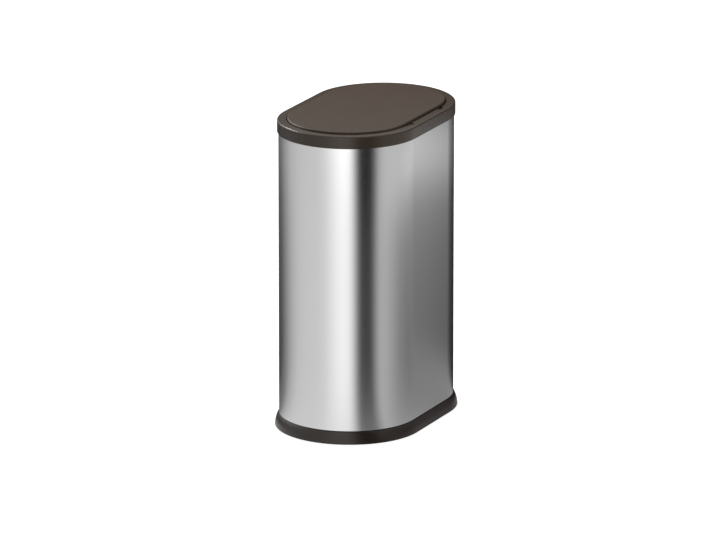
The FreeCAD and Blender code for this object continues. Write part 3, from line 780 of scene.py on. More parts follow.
@dataclass
class Can:
    """The standing can: steel tube, flared base, floor tray, fixings and feet."""

    plan: Plan
    screw: Screw
    sheet: float = 0.8  # thickness of the tube's sheet
    rim_width: float = 3.0  # width of the rolled rim
    rim_height: float = 4.0
    rim_round: float = 1.2
    lip: float = 1.2  # width of the base's top edge outside the steel
    lip_round: float = 0.5
    bead: float = 0.9  # reach of the black rubber bead along the joint of steel and base, which draws the dark line there
    bead_height: float = 1.4
    bead_root: float = 0.4  # how far the bead is let into both
    # Height and flare of the breaks in the base's face, as shares of the whole
    flare_shares: tuple[tuple[float, float], ...] = ((0.25, 0.91), (0.5, 0.75), (0.75, 0.45), (0.896, 0.23))
    flare_round: float = 1.8  # how far each break in the face is eased
    socket_gap: float = 0.2  # clearance of the steel in the base
    socket_round: float = 0.15  # edge of the socket
    seat_reach: float = 118.0  # inner end radius of the seat
    skirt_wall: float = 3.4  # wall of the base at the floor
    tray_sheet: float = 1.2  # thickness of the tray
    tray_corner: float = 2.4  # rounding of the tray's outer corner
    tray_panel: float = 96.0  # end radius of the tray's raised middle
    tray_step: float = 1.6  # how far the middle is raised
    tray_run: float = 3.2  # run of the slope up to it
    foot_line: float = 126.0  # end radius of the line of feet and screws
    screw_x: float = 34.0  # base screws along the straight sides
    foot: float = 6.0  # radius of a foot
    groove: float = 3.3  # radius where a foot's groove starts
    groove_depth: float = 0.6
    groove_floor: float = 0.6  # width of the groove's floor
    groove_side: float = 0.4  # width of each of its sloped sides
    tube_span: Extent = field(init=False)

    def __post_init__(self) -> None:
        """Read the steel tube's span, which the other pieces are set against."""
        self.tube_span = Extent.of("body_shell")

    def screw_places(self) -> Places:
        """Return where the base screws sit."""
        return self.plan.both_ways(self.screw_x, self.foot_line) + self.plan.on_diagonals(self.foot_line)

    def tube(self) -> Object:
        """Make the steel tube with its rolled rim."""
        span = self.tube_span
        inner, rim = span.reach - self.sheet, span.reach - self.rim_width
        under_rim = span.top - self.rim_height
        shape = self.plan.swept([
            Corner(span.reach, span.bottom, Edge.CUT),
            Corner(span.reach, span.top, self.rim_round),
            Corner(rim, span.top, self.rim_round),
            Corner(rim, under_rim, Edge.SOFT),
            Corner(inner, under_rim, Edge.CRISP),
            Corner(inner, span.bottom, Edge.CUT),
        ])
        return make_piece(shape, "steel_tube", Body.CAN, SATIN_STEEL, "body_shell")

    def base(self) -> Object:
        """Make the flared base with the seat that carries the tube."""
        span, tray = Extent.of("base_skirt"), Extent.of("base_floor")
        lip = self.tube_span.reach + self.lip
        flare, height = span.reach - lip, span.top - span.bottom
        under_seat = Extent.of("foot_pads").top
        hollow = span.reach - self.skirt_wall
        socket = self.tube_span.reach + self.socket_gap
        face = [
            Corner(lip + out * flare, span.bottom + rise * height, self.flare_round)
            for rise, out in self.flare_shares
        ]
        shape = self.plan.swept([
            Corner(span.reach, span.bottom, Edge.ROUND),
            *face,
            Corner(lip, span.top, self.lip_round),
            Corner(socket, span.top, self.socket_round),
            Corner(socket, tray.bottom),
            Corner(self.seat_reach, tray.bottom, Edge.SOFT),
            Corner(self.seat_reach, under_seat, Edge.SOFT),
            Corner(hollow, under_seat, Edge.SOFT),
            Corner(hollow, span.bottom, Edge.EASED),
        ])
        holes = self.screw.clearance(under_seat, tray.bottom, self.screw_places())
        shape = carved(shape, holes, Carve.CUT)
        return make_piece(shape, "flared_base", Body.CAN, BASE_PLASTIC, "base_skirt")

    def joint_bead(self) -> Object:
        """Make the rubber bead that lies on the base's lip against the steel."""
        foot = Extent.of("base_skirt").top
        inner, outer = self.tube_span.reach - self.bead_root, self.tube_span.reach + self.bead
        shape = self.plan.swept([
            Corner(outer, foot - self.bead_root),
            Corner(outer, foot + self.bead_height, Edge.MILD),
            Corner(inner, foot + self.bead_height),
            Corner(inner, foot - self.bead_root),
        ])
        # The black bead draws the dark line along the joint of steel and base
        return make_piece(shape, "dark_joint_bead", Body.CAN, RUBBER, "base_skirt")

    def tray(self) -> Object:
        """Make the pressed tray that closes the bottom, with a raised middle that stiffens it."""
        span = Extent.of("base_floor")
        inner, floor = span.reach - self.tray_sheet, span.bottom + self.tray_sheet
        panel, run = self.tray_panel, self.tray_run
        shape = self.plan.swept([
            Corner(panel - 2 * run, span.bottom + self.tray_step),
            Corner(panel - run, span.bottom + self.tray_step, Edge.FULL),
            Corner(panel, span.bottom, Edge.FULL),
            Corner(span.reach, span.bottom, self.tray_corner),
            Corner(span.reach, span.top, Edge.FINE),
            Corner(inner, span.top, Edge.FINE),
            Corner(inner, floor, Edge.FULL),
            Corner(panel, floor, Edge.FULL),
            Corner(panel - run, floor + self.tray_step, Edge.FULL),
            Corner(panel - 2 * run, floor + self.tray_step),
        ], closed=False)
        return make_piece(shape, "floor_tray", Body.CAN, PAN_STEEL, "base_floor")

    def feet(self) -> Object:
        """Make the rubber feet, each with a ring groove that grips the floor."""
        span = Extent.of("foot_pads")
        inner = self.groove + self.groove_side
        outer, above = inner + self.groove_floor, span.bottom + self.groove_depth
        shape = turned([
            Corner(0, span.bottom),
            Corner(self.groove, span.bottom, Edge.CUT),
            Corner(inner, above, Edge.CUT),
            Corner(outer, above, Edge.CUT),
            Corner(outer + self.groove_side, span.bottom, Edge.CUT),
            Corner(self.foot, span.bottom, Edge.MILD),
            Corner(self.foot, span.top, Edge.CRISP),
            Corner(0, span.top),
        ])
        places = self.plan.both_ways(self.plan.half, self.foot_line) + self.plan.at_ends(self.foot_line)
        return make_piece(repeated(shape, places), "rubber_feet", Body.CAN, RUBBER, "foot_pads")

    def build(self) -> None:
        """Make every piece of the standing can."""
        self.tube()
        self.base()
        self.joint_bead()
        self.tray()
        self.feet()
        self.screw.group("base_fixings", Body.CAN, "base_screws", self.screw_places())


@dataclass
class Bucket:
    """The lift-out bucket, which hangs by its flange on the rolled rim."""

    plan: Plan
    top_reach: float = 126.0  # end radius of the wall at the flange
    taper: float = 12.0  # how much the wall narrows to the floor
    wall: float = 2.0  # thickness of the wall
    floor: float = 2.5  # thickness of the floor
    floor_edge: float = 30.0  # how far in the floor is drawn, before it is filled across
    flange: float = 2.5  # thickness of the flange
    step_height: float = 46.0  # height of the stacking step below the flange
    step: float = 0.8  # width of the stacking step
    corner: float = 4.0  # rounding of the floor's edge

    def build(self) -> None:
        """Make the bucket."""
        span = Extent.of("inner_bucket")
        foot = self.top_reach - self.taper
        shoulder = span.top - self.flange
        floor = span.bottom + self.floor
        step_low, step_top = span.top - self.step_height - 2 * self.step, span.top - self.step_height
        slope = self.taper / (shoulder - span.bottom)
        at_step = foot + slope * (step_top - span.bottom) - self.step
        shape = self.plan.swept([
            Corner(foot - self.floor_edge, floor),
            Corner(foot - self.wall, floor, self.corner),
            Corner(at_step - self.wall, step_low, Edge.EASED),
            Corner(at_step - self.wall + self.step, step_top, Edge.EASED),
            Corner(self.top_reach - self.wall, span.top, Edge.FULL),
            Corner(span.reach, span.top, Edge.ROUND),
            Corner(span.reach, shoulder, Edge.EASED),
            Corner(self.top_reach, shoulder, Edge.EASED),
            Corner(at_step + self.step, step_top, Edge.EASED),
            Corner(at_step, step_low, Edge.EASED),
            Corner(foot, span.bottom, self.corner),
            Corner(foot - self.floor_edge, span.bottom),
        ], closed=False)
        make_piece(shape, "waste_bucket", Body.BUCKET, BUCKET_PLASTIC, "inner_bucket")


@dataclass
class Top:
    """The lift-off top: collar, closing ring, hinge seats, posts and push latch."""

    plan: Plan
    screw: Screw
    collar_wall: float = 2.0  # thickness of the collar's skirt
    collar_round: float = 3.0  # rounding of the collar's outer edge
    ledge_width: float = 17.5  # width of the ledge round the lid
    ledge: float = 2.5  # thickness of the ledge
    opening_wall: float = 2.5  # wall down from the ledge's inner edge
    lid_gap: float = 3.3  # gap from the opening to the lid's edge in the frame
    boss: float = 3.75  # radius of the screw bosses
    screw_x: float = 22.0  # collar screws along the straight sides
    ear_half: float = 6.5  # half width of a lid ear and its side gaps
    notch_back: float = 4.6  # how far behind the hinge axis a notch reaches
    notch_taper: float = 18.0  # run-out of a notch along the round end
    pocket_gap: float = 0.3  # room round a hinge seat in the collar
    pin_play: float = 0.06  # room round a pin in its seat
    screw_inset: float = 3.2  # hinge screws inside the back of a seat
    ring_reach: float = 101.0  # inner end radius of the closing ring
    counterbore: float = 3.5  # radius of the pockets for screw heads
    counterbore_depth: float = 2.5
    post: float = 3.5  # radius of the rubber posts
    post_dome: float = 1.6  # rounding of their tops
    post_x: float = 50.0  # front posts along the straight side
    post_line: float = 114.5  # end radius of the line of posts
    barrel: float = 6.0  # radius of the latch's barrel
    bore: float = 3.6  # radius of its bore
    barrel_floor: float = 2.0  # floor of the barrel
    latch_flange: float = 2.0  # thickness of the latch's flange
    flange_flat: float = 0.5  # half width of the flat ends of that flange
    latch_screw_x: float = 11.5  # latch screws from the latch's axis
    ring_hole: float = 3.9  # radius of the hole for the plunger
    spring: float = 2.7  # radius of the spring to the middle of its wire
    wire: float = 0.35  # radius of the spring's wire
    pitch: float = 1.5  # spring, turn to turn
    press: float = 2.5  # how far the latch is pressed in
    collar_span: Extent = field(init=False)
    ring_span: Extent = field(init=False)
    seat_span: Extent = field(init=False)
    pin_span: Extent = field(init=False)
    latch_span: Extent = field(init=False)

    def __post_init__(self) -> None:
        """Read the spans that the pieces are set against."""
        self.collar_span = Extent.of("top_collar")
        self.ring_span = Extent.of("collar_frame")
        self.seat_span = Extent.of("hinge_block_right")
        self.pin_span = Extent.of("hinge_pin_right")
        self.latch_span = Extent.of("latch_housing")

    @property
    def opening(self) -> float:
        """End radius of the opening that the lid lies in."""
        return self.collar_span.reach - self.ledge_width

    @property
    def latch_axis(self) -> Vector:
        """Where the latch's axis meets the floor."""
        middle = self.latch_span.middle
        return Vector((middle.x, middle.y, 0))

    def screw_places(self) -> Places:
        """Return where the collar screws sit."""
        skirt = self.collar_span.reach - self.collar_wall
        line = (self.opening + self.opening_wall + skirt) / 2
        return self.plan.both_ways(self.screw_x, line) + self.plan.on_diagonals(line)

    def hinge_screw_places(self) -> Places:
        """Return where the hinge screws sit, two in each seat."""
        span = self.seat_span
        cheek = (span.high.x - span.low.x - 2 * self.ear_half) / 4
        y = span.high.y - self.screw_inset
        return [(side * x, y) for side in SIDES for x in (span.low.x + cheek, span.high.x - cheek)]

    def latch_screw_places(self) -> Places:
        """Return where the latch screws sit."""
        return pair(self.latch_screw_x, self.latch_axis.y)

    def notches(self) -> BMesh:
        """Return cutters for the two ear notches and for the hinge seats under the ledge."""
        pin, seat, room = self.pin_span.middle, self.seat_span, self.pocket_gap
        front, back = self.opening - self.lid_gap, pin.y + self.notch_back
        near, far = pin.x - self.ear_half, pin.x + self.ear_half
        notch = [
            Corner(far + self.notch_taper, front), Corner(far, back, Edge.BROAD),
            Corner(near, back, Edge.FINE), Corner(near, front),
        ]
        pocket = [
            Corner(seat.high.x + room, front), Corner(seat.high.x + room, seat.high.y + room),
            Corner(seat.low.x - room, seat.high.y + room), Corner(seat.low.x - room, front),
        ]
        foot, depth = UP * (self.ring_span.top - OVERLAP), self.collar_span.top - self.ring_span.top
        return gathered(*(
            carved(
                prism(mirrored(notch, side), foot, X_AXIS, Y_AXIS, depth + 2 * OVERLAP),
                prism(mirrored(pocket, side), foot, X_AXIS, Y_AXIS, depth - self.ledge + OVERLAP),
                Carve.JOIN,
            )
            for side in SIDES
        ))

    def collar(self) -> Object:
        """Make the collar with its bosses and the notches for the lid's ears."""
        span = self.collar_span
        under, foot = span.top - self.ledge, self.ring_span.top
        skirt = span.reach - self.collar_wall
        shape = self.plan.swept([
            Corner(span.reach, span.bottom, Edge.EASED),
            Corner(span.reach, span.top, self.collar_round),
            Corner(self.opening, span.top, Edge.MILD),
            Corner(self.opening, foot, Edge.CRISP),
            Corner(self.opening + self.opening_wall, foot, Edge.CRISP),
            Corner(self.opening + self.opening_wall, under, Edge.FINE),
            Corner(skirt, under, Edge.SOFT),
            Corner(skirt, span.bottom, Edge.FINE),
        ])
        bosses = repeated(rod(self.boss, foot, under + OVERLAP, below=Edge.CRISP), self.screw_places())
        shape = carved(shape, bosses, Carve.JOIN)
        shape = carved(shape, self.notches(), Carve.CUT)
        return make_piece(shape, "collar", Body.TOP, COLLAR_PLASTIC, "top_collar")

    def ring(self) -> Object:
        """Make the ring that closes the collar below, with its screw pockets and the plunger's hole."""
        span = self.ring_span
        shape = self.plan.swept([
            Corner(span.reach, span.bottom, Edge.FINE),
            Corner(span.reach, span.top, Edge.FINE),
            Corner(self.ring_reach, span.top, Edge.FULL),
            Corner(self.ring_reach, span.bottom, Edge.SOFT),
        ])
        below, above = span.bottom - OVERLAP, span.top + OVERLAP
        hole, pocket_top = self.screw.hole, span.bottom + self.counterbore_depth
        pocket = turned([
            Corner(0, below), Corner(self.counterbore, below), Corner(self.counterbore, pocket_top),
            Corner(hole, pocket_top), Corner(hole, above), Corner(0, above),
        ])
        cutters = gathered(
            repeated(pocket, self.screw_places() + self.hinge_screw_places()),
            repeated(rod(self.screw.shank, below, above), self.latch_screw_places()),
            moved(rod(self.ring_hole, below, above), self.latch_axis),
        )
        shape = carved(shape, cutters, Carve.CUT)
        return make_piece(shape, "closing_ring", Body.TOP, FRAME_PLASTIC, "collar_frame")

    def hinge_seats(self) -> None:
        """Make the two forked seats that the lid's pins turn in."""
        span, pin = self.seat_span, self.pin_span.middle
        near, far = pin.x - self.ear_half, pin.x + self.ear_half
        back, bore = pin.y + self.notch_back, self.pin_span.high.z - pin.z + self.pin_play
        fork = [
            Corner(span.low.x, span.low.y), Corner(near, span.low.y), Corner(near, back, Edge.EASED),
            Corner(far, back, Edge.EASED), Corner(far, span.low.y), Corner(span.high.x, span.low.y),
            Corner(span.high.x, span.high.y, Edge.BROAD), Corner(span.low.x, span.high.y, Edge.BROAD),
        ]
        for side, name in zip(SIDES, ("left", "right")):
            shape = prism(mirrored(fork, side), UP * span.bottom, X_AXIS, Y_AXIS, span.top - span.bottom)
            drill = laid(rod(bore, span.low.x - OVERLAP, span.high.x + OVERLAP), side)
            drill = moved(drill, Vector((0, pin.y, pin.z)))
            shape = carved(softened(shape, Edge.CRISP), drill, Carve.CUT)
            make_piece(shape, f"hinge_seat_{name}", Body.TOP, ACETAL, f"hinge_block_{name}")

    def posts(self) -> Object:
        """Make the rubber posts that the lid's edge lands on."""
        span = Extent.of("lid_bumpers")
        places = pair(self.post_x, -self.post_line) + self.plan.at_ends(self.post_line)
        shape = repeated(rod(self.post, span.bottom, span.top, Edge.CUT, self.post_dome), places)
        return make_piece(shape, "landing_posts", Body.TOP, RUBBER, "lid_bumpers")

    def latch(self) -> Object:
        """Make the latch's housing."""
        span = self.latch_span
        middle = span.middle
        half, deep = middle.x - span.low.x, middle.y - span.low.y
        plate = prism(
            rectangle(half, deep, deep - self.flange_flat), UP * (span.top - self.latch_flange),
            X_AXIS, Y_AXIS, self.latch_flange,
        )
        shape = carved(rod(self.barrel, span.bottom, span.top, below=Edge.SOFT), plate, Carve.JOIN)
        drill = gathered(
            rod(self.bore, span.bottom + self.barrel_floor, span.top + OVERLAP),
            self.screw.clearance(span.top - self.latch_flange, span.top, pair(self.latch_screw_x, 0.0)),
        )
        shape = moved(carved(shape, drill, Carve.CUT), self.latch_axis)
        return make_piece(shape, "latch_barrel", Body.TOP, ACETAL, "latch_housing")

    def coil(self) -> Object:
        """Make the spring inside the latch. Pressing the latch in squashes the real spring; this one keeps
        its length.
        """
        span = Extent.of("latch_spring")
        height = span.top - span.bottom
        turns = (height - 2 * self.wire) / self.pitch
        steps = round(turns * TURN_STEPS)
        start = Matrix.Translation(Vector((self.spring, 0, span.bottom + self.wire)) * MM)
        bm = bmesh.new()
        bmesh.ops.create_circle(
            bm, cap_ends=False, segments=WIRE_STEPS, radius=self.wire * MM,
            matrix=start @ Matrix.Rotation(math.pi / 2, 4, "X"),
        )
        climb = UP * (self.pitch * turns / steps) * MM
        bmesh.ops.spin(
            bm, geom=[*bm.verts, *bm.edges], cent=ORIGIN, axis=UP, dvec=climb, angle=2 * math.pi * turns,
            steps=steps, use_merge=False, use_normal_flip=False, use_duplicate=False,
        )
        close_up(bm)
        shape = moved(bm, self.latch_axis)
        spring = make_piece(shape, "press_spring", Body.TOP, SPRING_STEEL, "latch_spring")
        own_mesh(spring)
        return spring

    def build(self) -> None:
        """Make every piece of the lift-off top."""
        self.collar()
        self.ring()
        self.hinge_seats()
        self.posts()
        self.latch()
        self.coil()
        self.screw.group("collar_fixings", Body.TOP, "collar_screws", self.screw_places())
        self.screw.group("hinge_fixings", Body.TOP, "hinge_screws", self.hinge_screw_places())
        self.screw.group("latch_fixings", Body.TOP, "latch_screws", self.latch_screw_places())


@dataclass
class Plunger:
    """The push rod of the latch with the magnet on its tip."""

    radius: float = 3.5  # radius of both
    neck_round: float = 0.25  # rounding of the rod under the magnet
    tip_round: float = 0.35  # rounding of the magnet's face

    def build(self) -> None:
        """Make the rod and the magnet."""
        push, disc = Extent.of("latch_plunger"), Extent.of("latch_magnet")
        axis = [(push.middle.x, push.middle.y)]
        shape = repeated(rod(self.radius, push.bottom, push.top, Edge.SMALL, self.neck_round), axis)
        make_piece(shape, "push_rod", Body.PLUNGER, ACETAL, "latch_plunger")
        shape = repeated(rod(self.radius, disc.bottom, disc.top, Edge.CUT, self.tip_round), axis)
        make_piece(shape, "magnet_disc", Body.PLUNGER, NICKEL, "latch_magnet")


@dataclass
class Lid:
    """The swinging lid: panel with hinge ears, inner pan, fixings, strike plate and pins."""

    plan: Plan
    screw: Screw
    plate: float = 2.4  # thickness of the top plate
    plate_edge: float = 20.0  # how far in the plate is drawn, before it is filled across
    skirt: float = 6.0  # height of the lid's edge
    wall: float = 2.2  # wall of the lid's edge
    edge_round: float = 2.8  # rounding of the top edge
    brim: float = 1.6  # how far the edge stands out past the frame's, which narrows the gap round the lid
    brim_end: float = 105.0  # where the brim begins to draw in towards the hinge side, from the middle
    ear_half: float = 6.0  # half width of a hinge ear
    ear_radius: float = 3.6  # radius of an ear's end
    ear_round: float = 3.59  # rounding of its corners, all but that radius
    ear_root: float = 7.6  # root of an ear inside the lid's edge
    boss: float = 4.0  # radius of the screw bosses
    pan_wall: float = 2.0  # wall of the inner pan
    pan_floor: float = 2.0  # floor of the inner pan
    pan_corner: float = 2.5  # rounding of the inner pan's outer corner
    panel_reach: float = 84.0  # end radius of the inner pan's sunk middle
    panel_step: float = 1.0  # how far the middle is sunk
    panel_run: float = 1.5  # run of the slope down to it
    panel_edge: float = 6.0  # how far in the middle is drawn, before it is filled across
    screw_x: float = 56.0  # lid screws along the straight sides
    screw_inset: float = 9.0  # lid screws inside the inner pan's edge
    strike_half: float = 10.0  # half length of the strike plate
    strike_deep: float = 3.0  # half width of the strike plate
    strike_edge: float = 0.15  # bevel of the strike plate's edges
    panel_span: Extent = field(init=False)
    pan_span: Extent = field(init=False)

    def __post_init__(self) -> None:
        """Read the spans that the pieces are set against."""
        self.panel_span = Extent.of("lid_panel")
        self.pan_span = Extent.of("lid_underpan")

    def screw_places(self) -> Places:
        """Return where the lid screws sit."""
        line = self.pan_span.reach - self.screw_inset
        return self.plan.both_ways(self.screw_x, line) + self.plan.at_ends(line)

    def panel(self) -> Object:
        """Make the lid's panel with its edge and bosses."""
        span = self.panel_span
        edge, under = span.top - self.skirt, span.top - self.plate
        inner, outer = span.reach - self.wall, span.reach + self.brim
        shape = self.plan.swept([
            Corner(span.reach - self.plate_edge, span.top),
            Corner(outer, span.top, self.edge_round),
            Corner(outer, edge, Edge.SMALL),
            Corner(inner, edge, Edge.SMALL),
            Corner(inner, under, Edge.EASED),
            Corner(span.reach - self.plate_edge, under),
        ], closed=False)
        # On the hinge side the brim draws in to the frame's edge, which clears the ledge as the lid opens
        skin = [vert for vert in shape.verts if self.plan.reach_of(vert.co) > span.reach - self.wall / 2]
        drawn_in = (span.reach - self.brim_end) / (outer - self.brim_end)
        bmesh.ops.scale(
            shape, vec=(1.0, drawn_in, 1.0), space=Matrix.Translation(Y_AXIS * -self.brim_end * MM),
            verts=[vert for vert in skin if vert.co.y > self.brim_end * MM],
        )
        pan_floor = self.pan_span.bottom + self.pan_floor
        bosses = repeated(rod(self.boss, pan_floor, under + OVERLAP, below=Edge.CRISP), self.screw_places())
        shape = carved(shape, bosses, Carve.JOIN)
        return make_piece(shape, "lid_top", Body.LID, LID_PLASTIC, "lid_panel")

    def ears(self) -> Object:
        """Make the two hinge ears, which run into the lid's edge. They are black, as painted shade that
        darkens the notches round them.
        """
        pin, reach = Extent.of("hinge_pin_right").middle, self.panel_span.reach
        root, skirt = reach - self.ear_root, reach - self.wall / 2
        plate = self.panel_span.top - self.plate / 2
        low, high = pin.z - self.ear_radius, pin.z + self.ear_radius
        end = pin.y + self.ear_radius
        outline = [
            Corner(root, low, Edge.LARGE), Corner(end, low, self.ear_round),
            Corner(end, high, self.ear_round), Corner(skirt, high), Corner(skirt, plate), Corner(root, plate),
        ]
        shape = gathered(*(
            prism(outline, X_AXIS * (side * pin.x - self.ear_half), Y_AXIS, UP, 2 * self.ear_half)
            for side in SIDES
        ))
        # Black acetal finish on the ears: painted shade, so that the notches round them show dark
        return make_piece(shape, "hinge_ears", Body.LID, ACETAL, "lid_panel")

    def pan(self) -> Object:
        """Make the inner pan that closes the lid below, with a sunk middle that stiffens it."""
        span = self.pan_span
        inner, floor = span.reach - self.pan_wall, span.bottom + self.pan_floor
        sunk, middle = span.bottom + self.panel_step, self.panel_reach - self.panel_edge
        shape = self.plan.swept([
            Corner(middle, sunk),
            Corner(self.panel_reach - self.panel_run, sunk, Edge.MILD),
            Corner(self.panel_reach, span.bottom, Edge.MILD),
            Corner(span.reach, span.bottom, self.pan_corner),
            Corner(span.reach, span.top, Edge.CRISP),
            Corner(inner, span.top, Edge.CRISP),
            Corner(inner, floor, Edge.LARGE),
            Corner(middle, floor),
        ], closed=False)
        holes = self.screw.clearance(span.bottom, floor, self.screw_places())
        shape = carved(shape, holes, Carve.CUT)
        return make_piece(shape, "lid_inner_pan", Body.LID, LID_PLASTIC, "lid_underpan")

    def strike(self) -> Object:
        """Make the steel plate that the latch's magnet holds."""
        span = Extent.of("strike_plate")
        start = Vector((span.middle.x, span.middle.y, span.bottom))
        outline = rectangle(self.strike_half, self.strike_deep, Edge.BROAD)
        shape = softened(prism(outline, start, X_AXIS, Y_AXIS, span.top - span.bottom), self.strike_edge)
        return make_piece(shape, "strike_tab", Body.LID, ZINC_STEEL, "strike_plate")

    def pins(self) -> None:
        """Make the two steel pins that the lid turns on."""
        for name in ("left", "right"):
            span = Extent.of(f"hinge_pin_{name}")
            half, radius = span.high.x - span.middle.x, span.high.z - span.middle.z
            shape = moved(laid(rod(radius, -half, half, Edge.FINE, Edge.FINE)), span.middle)
            make_piece(shape, f"lid_pin_{name}", Body.LID, ZINC_STEEL, f"hinge_pin_{name}")

    def build(self) -> None:
        """Make every piece of the lid."""
        self.panel()
        self.ears()
        self.pan()
        self.strike()
        self.pins()
        self.screw.group("lid_fixings", Body.LID, "lid_screws", self.screw_places())


@dataclass(frozen=True)
class Stop:
    """The surround's brightness in one direction."""

    angle: float  # degrees from +X towards +Y, seen from the can's middle
    foot: float  # radiance of its floor beside the can
    low: float  # radiance where its wall meets the floor
    high: float  # radiance of its wall above the can's middle
    top: float  # radiance of its wall above the can


@dataclass(frozen=True)
class Row:
    """One row of the surround's wall."""

    height: float  # height above the floor, in metres
    rise: float  # how far its brightness has gone from low to high
    crown: float = 0.0  # how far it has gone on from there to the top's


@dataclass(frozen=True)
class Lamp:
    """A soft round lamp aimed at the can."""

    name: str
    angle: float  # its direction, degrees from +X towards +Y
    height: float  # its elevation in degrees
    distance: float  # its distance in metres
    size: float  # its width in metres
    power: float  # its power in watts
    lights: bool = True  # whether it lights matt surfaces
    glints: bool = True  # whether it shows in reflections


@dataclass
class Studio:
    """The plain studio: white background, pale floor, a ring of panels that steel mirrors, lamps, camera."""

    plan: Plan  # the can's plan, which the surround follows
    ambient: float = 0.26  # level of the world as it lights the object
    floor_colour: str = "BEBEBE"  # pale grey of the floor, sRGB hex
    floor_glow: float = 0.87  # what takes the lit floor up to the white background
    floor_reach: float = 40.0  # radius of the floor, in metres
    floor_drop: float = 0.2  # how far it lies below the feet, in millimetres
    surround_reach: float = 0.584  # end radius of the surround's wall, in metres
    surround_steps: int = 120  # facets round each end of the surround
    mat_reach: float = 0.13  # end radius of the inner edge of the surround's floor, in metres
    rows: tuple[Row, ...] = (
        Row(0.0003, 0.0), Row(0.16, 0.05), Row(0.29, 0.15), Row(0.38, 1.0), Row(0.42, 1.0),
        Row(0.5, 1.0, 1.0), Row(0.9, 1.0, 1.0),
    )
    stops: tuple[Stop, ...] = (
        Stop(-180, 0.03, 0.03, 0.05, 0.05), Stop(-170, 0.38, 0.38, 0.38, 0.05),
        Stop(-150, 0.38, 0.38, 0.38, 0.05), Stop(-140, 0.0, 0.0, 0.05, 0.1), Stop(-112, 0.0, 0.02, 0.06, 0.1),
        Stop(-97, 0.0, 0.04, 0.12, 0.2), Stop(-81, 0.18, 0.28, 0.38, 0.4), Stop(-67, 0.64, 0.6, 0.7, 0.68),
        Stop(-51, 0.95, 0.88, 0.86, 0.86), Stop(-36, 1.02, 0.96, 0.93, 0.93), Stop(-18, 1.04, 1.0, 0.96, 1.0),
        Stop(-7, 1.06, 1.12, 1.1, 1.3), Stop(3, 1.18, 1.4, 1.45, 1.7), Stop(13, 1.26, 1.6, 1.75, 2.1),
        Stop(20, 1.26, 1.56, 1.75, 2.1), Stop(24, 1.18, 1.42, 1.56, 1.9), Stop(29, 0.86, 0.86, 0.8, 0.7),
        Stop(34, 0.4, 0.22, 0.08, 0.1), Stop(38, 0.32, 0.06, 0.0, 0.0), Stop(51, 0.32, 0.06, 0.0, 0.0),
        Stop(57, 0.52, 0.35, 0.26, 0.2), Stop(63, 0.7, 0.7, 0.78, 0.6), Stop(72, 0.58, 0.68, 0.92, 0.8),
        Stop(98, 0.38, 0.36, 1.02, 0.7), Stop(118, 0.37, 0.26, 1.25, 0.15), Stop(140, 0.42, 0.28, 1.2, 0.1),
        Stop(148, 0.12, 0.16, 0.64, 0.1), Stop(156, 0.03, 0.05, 0.3, 0.05), Stop(172, 0.02, 0.02, 0.1, 0.05),
        Stop(180, 0.03, 0.03, 0.05, 0.05),
    )
    lamps: tuple[Lamp, ...] = (
        Lamp("key_lamp", -130.0, 55.0, 4.0, 0.5, 145.0, glints=False),
        Lamp("fill_lamp", 75.0, 10.0, 4.0, 1.0, 29.0, glints=False),
        Lamp("edge_lamp", -102.0, 24.0, 2.6, 1.8, 140.0, lights=False),
    )
    aim_height: float = 0.6  # height that the lamps are aimed at, in metres
    camera_place: tuple[float, float, float] = (12.9991, 6.2526, 4.4143)  # in metres
    camera_aim: tuple[float, float, float] = (-0.8659, -0.4177, -0.2753)  # direction in which it looks
    camera_lens: float = 397.8  # focal length
    camera_sensor: float = 36.0  # width of the sensor
    camera_end: float = 100.0  # how far it sees, in metres

    def seen(self, tree: NodeTree) -> NodeSocket:
        """Return a socket that is 1 for rays that show the background and 0 for rays that light things."""
        path = add_node(tree, "ShaderNodeLightPath").outputs
        shown = path["Is Camera Ray"]
        for ray in ("Is Glossy Ray", "Is Transmission Ray"):
            shown = add_node(tree, "ShaderNodeMath", {0: shown, 1: path[ray]}, operation="MAXIMUM").outputs[0]
        return shown

    def backdrop(self) -> None:
        """Make the white background, which lights the object at a plain level."""
        world = bpy.data.worlds.new("studio")
        world.use_nodes = True
        tree = world.node_tree
        tree.nodes.clear()
        level = add_node(
            tree, "ShaderNodeMapRange", {"Value": self.seen(tree), "To Min": self.ambient, "To Max": 1.0},
        ).outputs["Result"]
        light = add_node(tree, "ShaderNodeBackground", {"Color": WHITE, "Strength": level}).outputs[0]
        add_node(tree, "ShaderNodeOutputWorld", {"Surface": light})
        bpy.context.scene.world = world

    def floor(self) -> Object:
        """Make the pale floor, which keeps the can's shadow."""
        bm = bmesh.new()
        bmesh.ops.create_circle(
            bm, cap_ends=True, segments=ARC_STEPS, radius=self.floor_reach,
            matrix=Matrix.Translation(UP * -self.floor_drop * MM),
        )
        material, tree = new_material("pale_floor")
        paint = add_node(tree, "ShaderNodeBsdfDiffuse", {"Color": linear(self.floor_colour)}).outputs[0]
        level = add_node(
            tree, "ShaderNodeMath", {0: self.seen(tree), 1: self.floor_glow}, operation="MULTIPLY",
        ).outputs[0]
        glow = add_node(tree, "ShaderNodeEmission", {"Color": WHITE, "Strength": level}).outputs[0]
        both = add_node(tree, "ShaderNodeAddShader", {0: paint, 1: glow}).outputs[0]
        add_node(tree, "ShaderNodeOutputMaterial", {"Surface": both})
        mesh = mesh_from(bm, "floor")
        mesh.materials.append(material)
        return placed("floor", mesh)

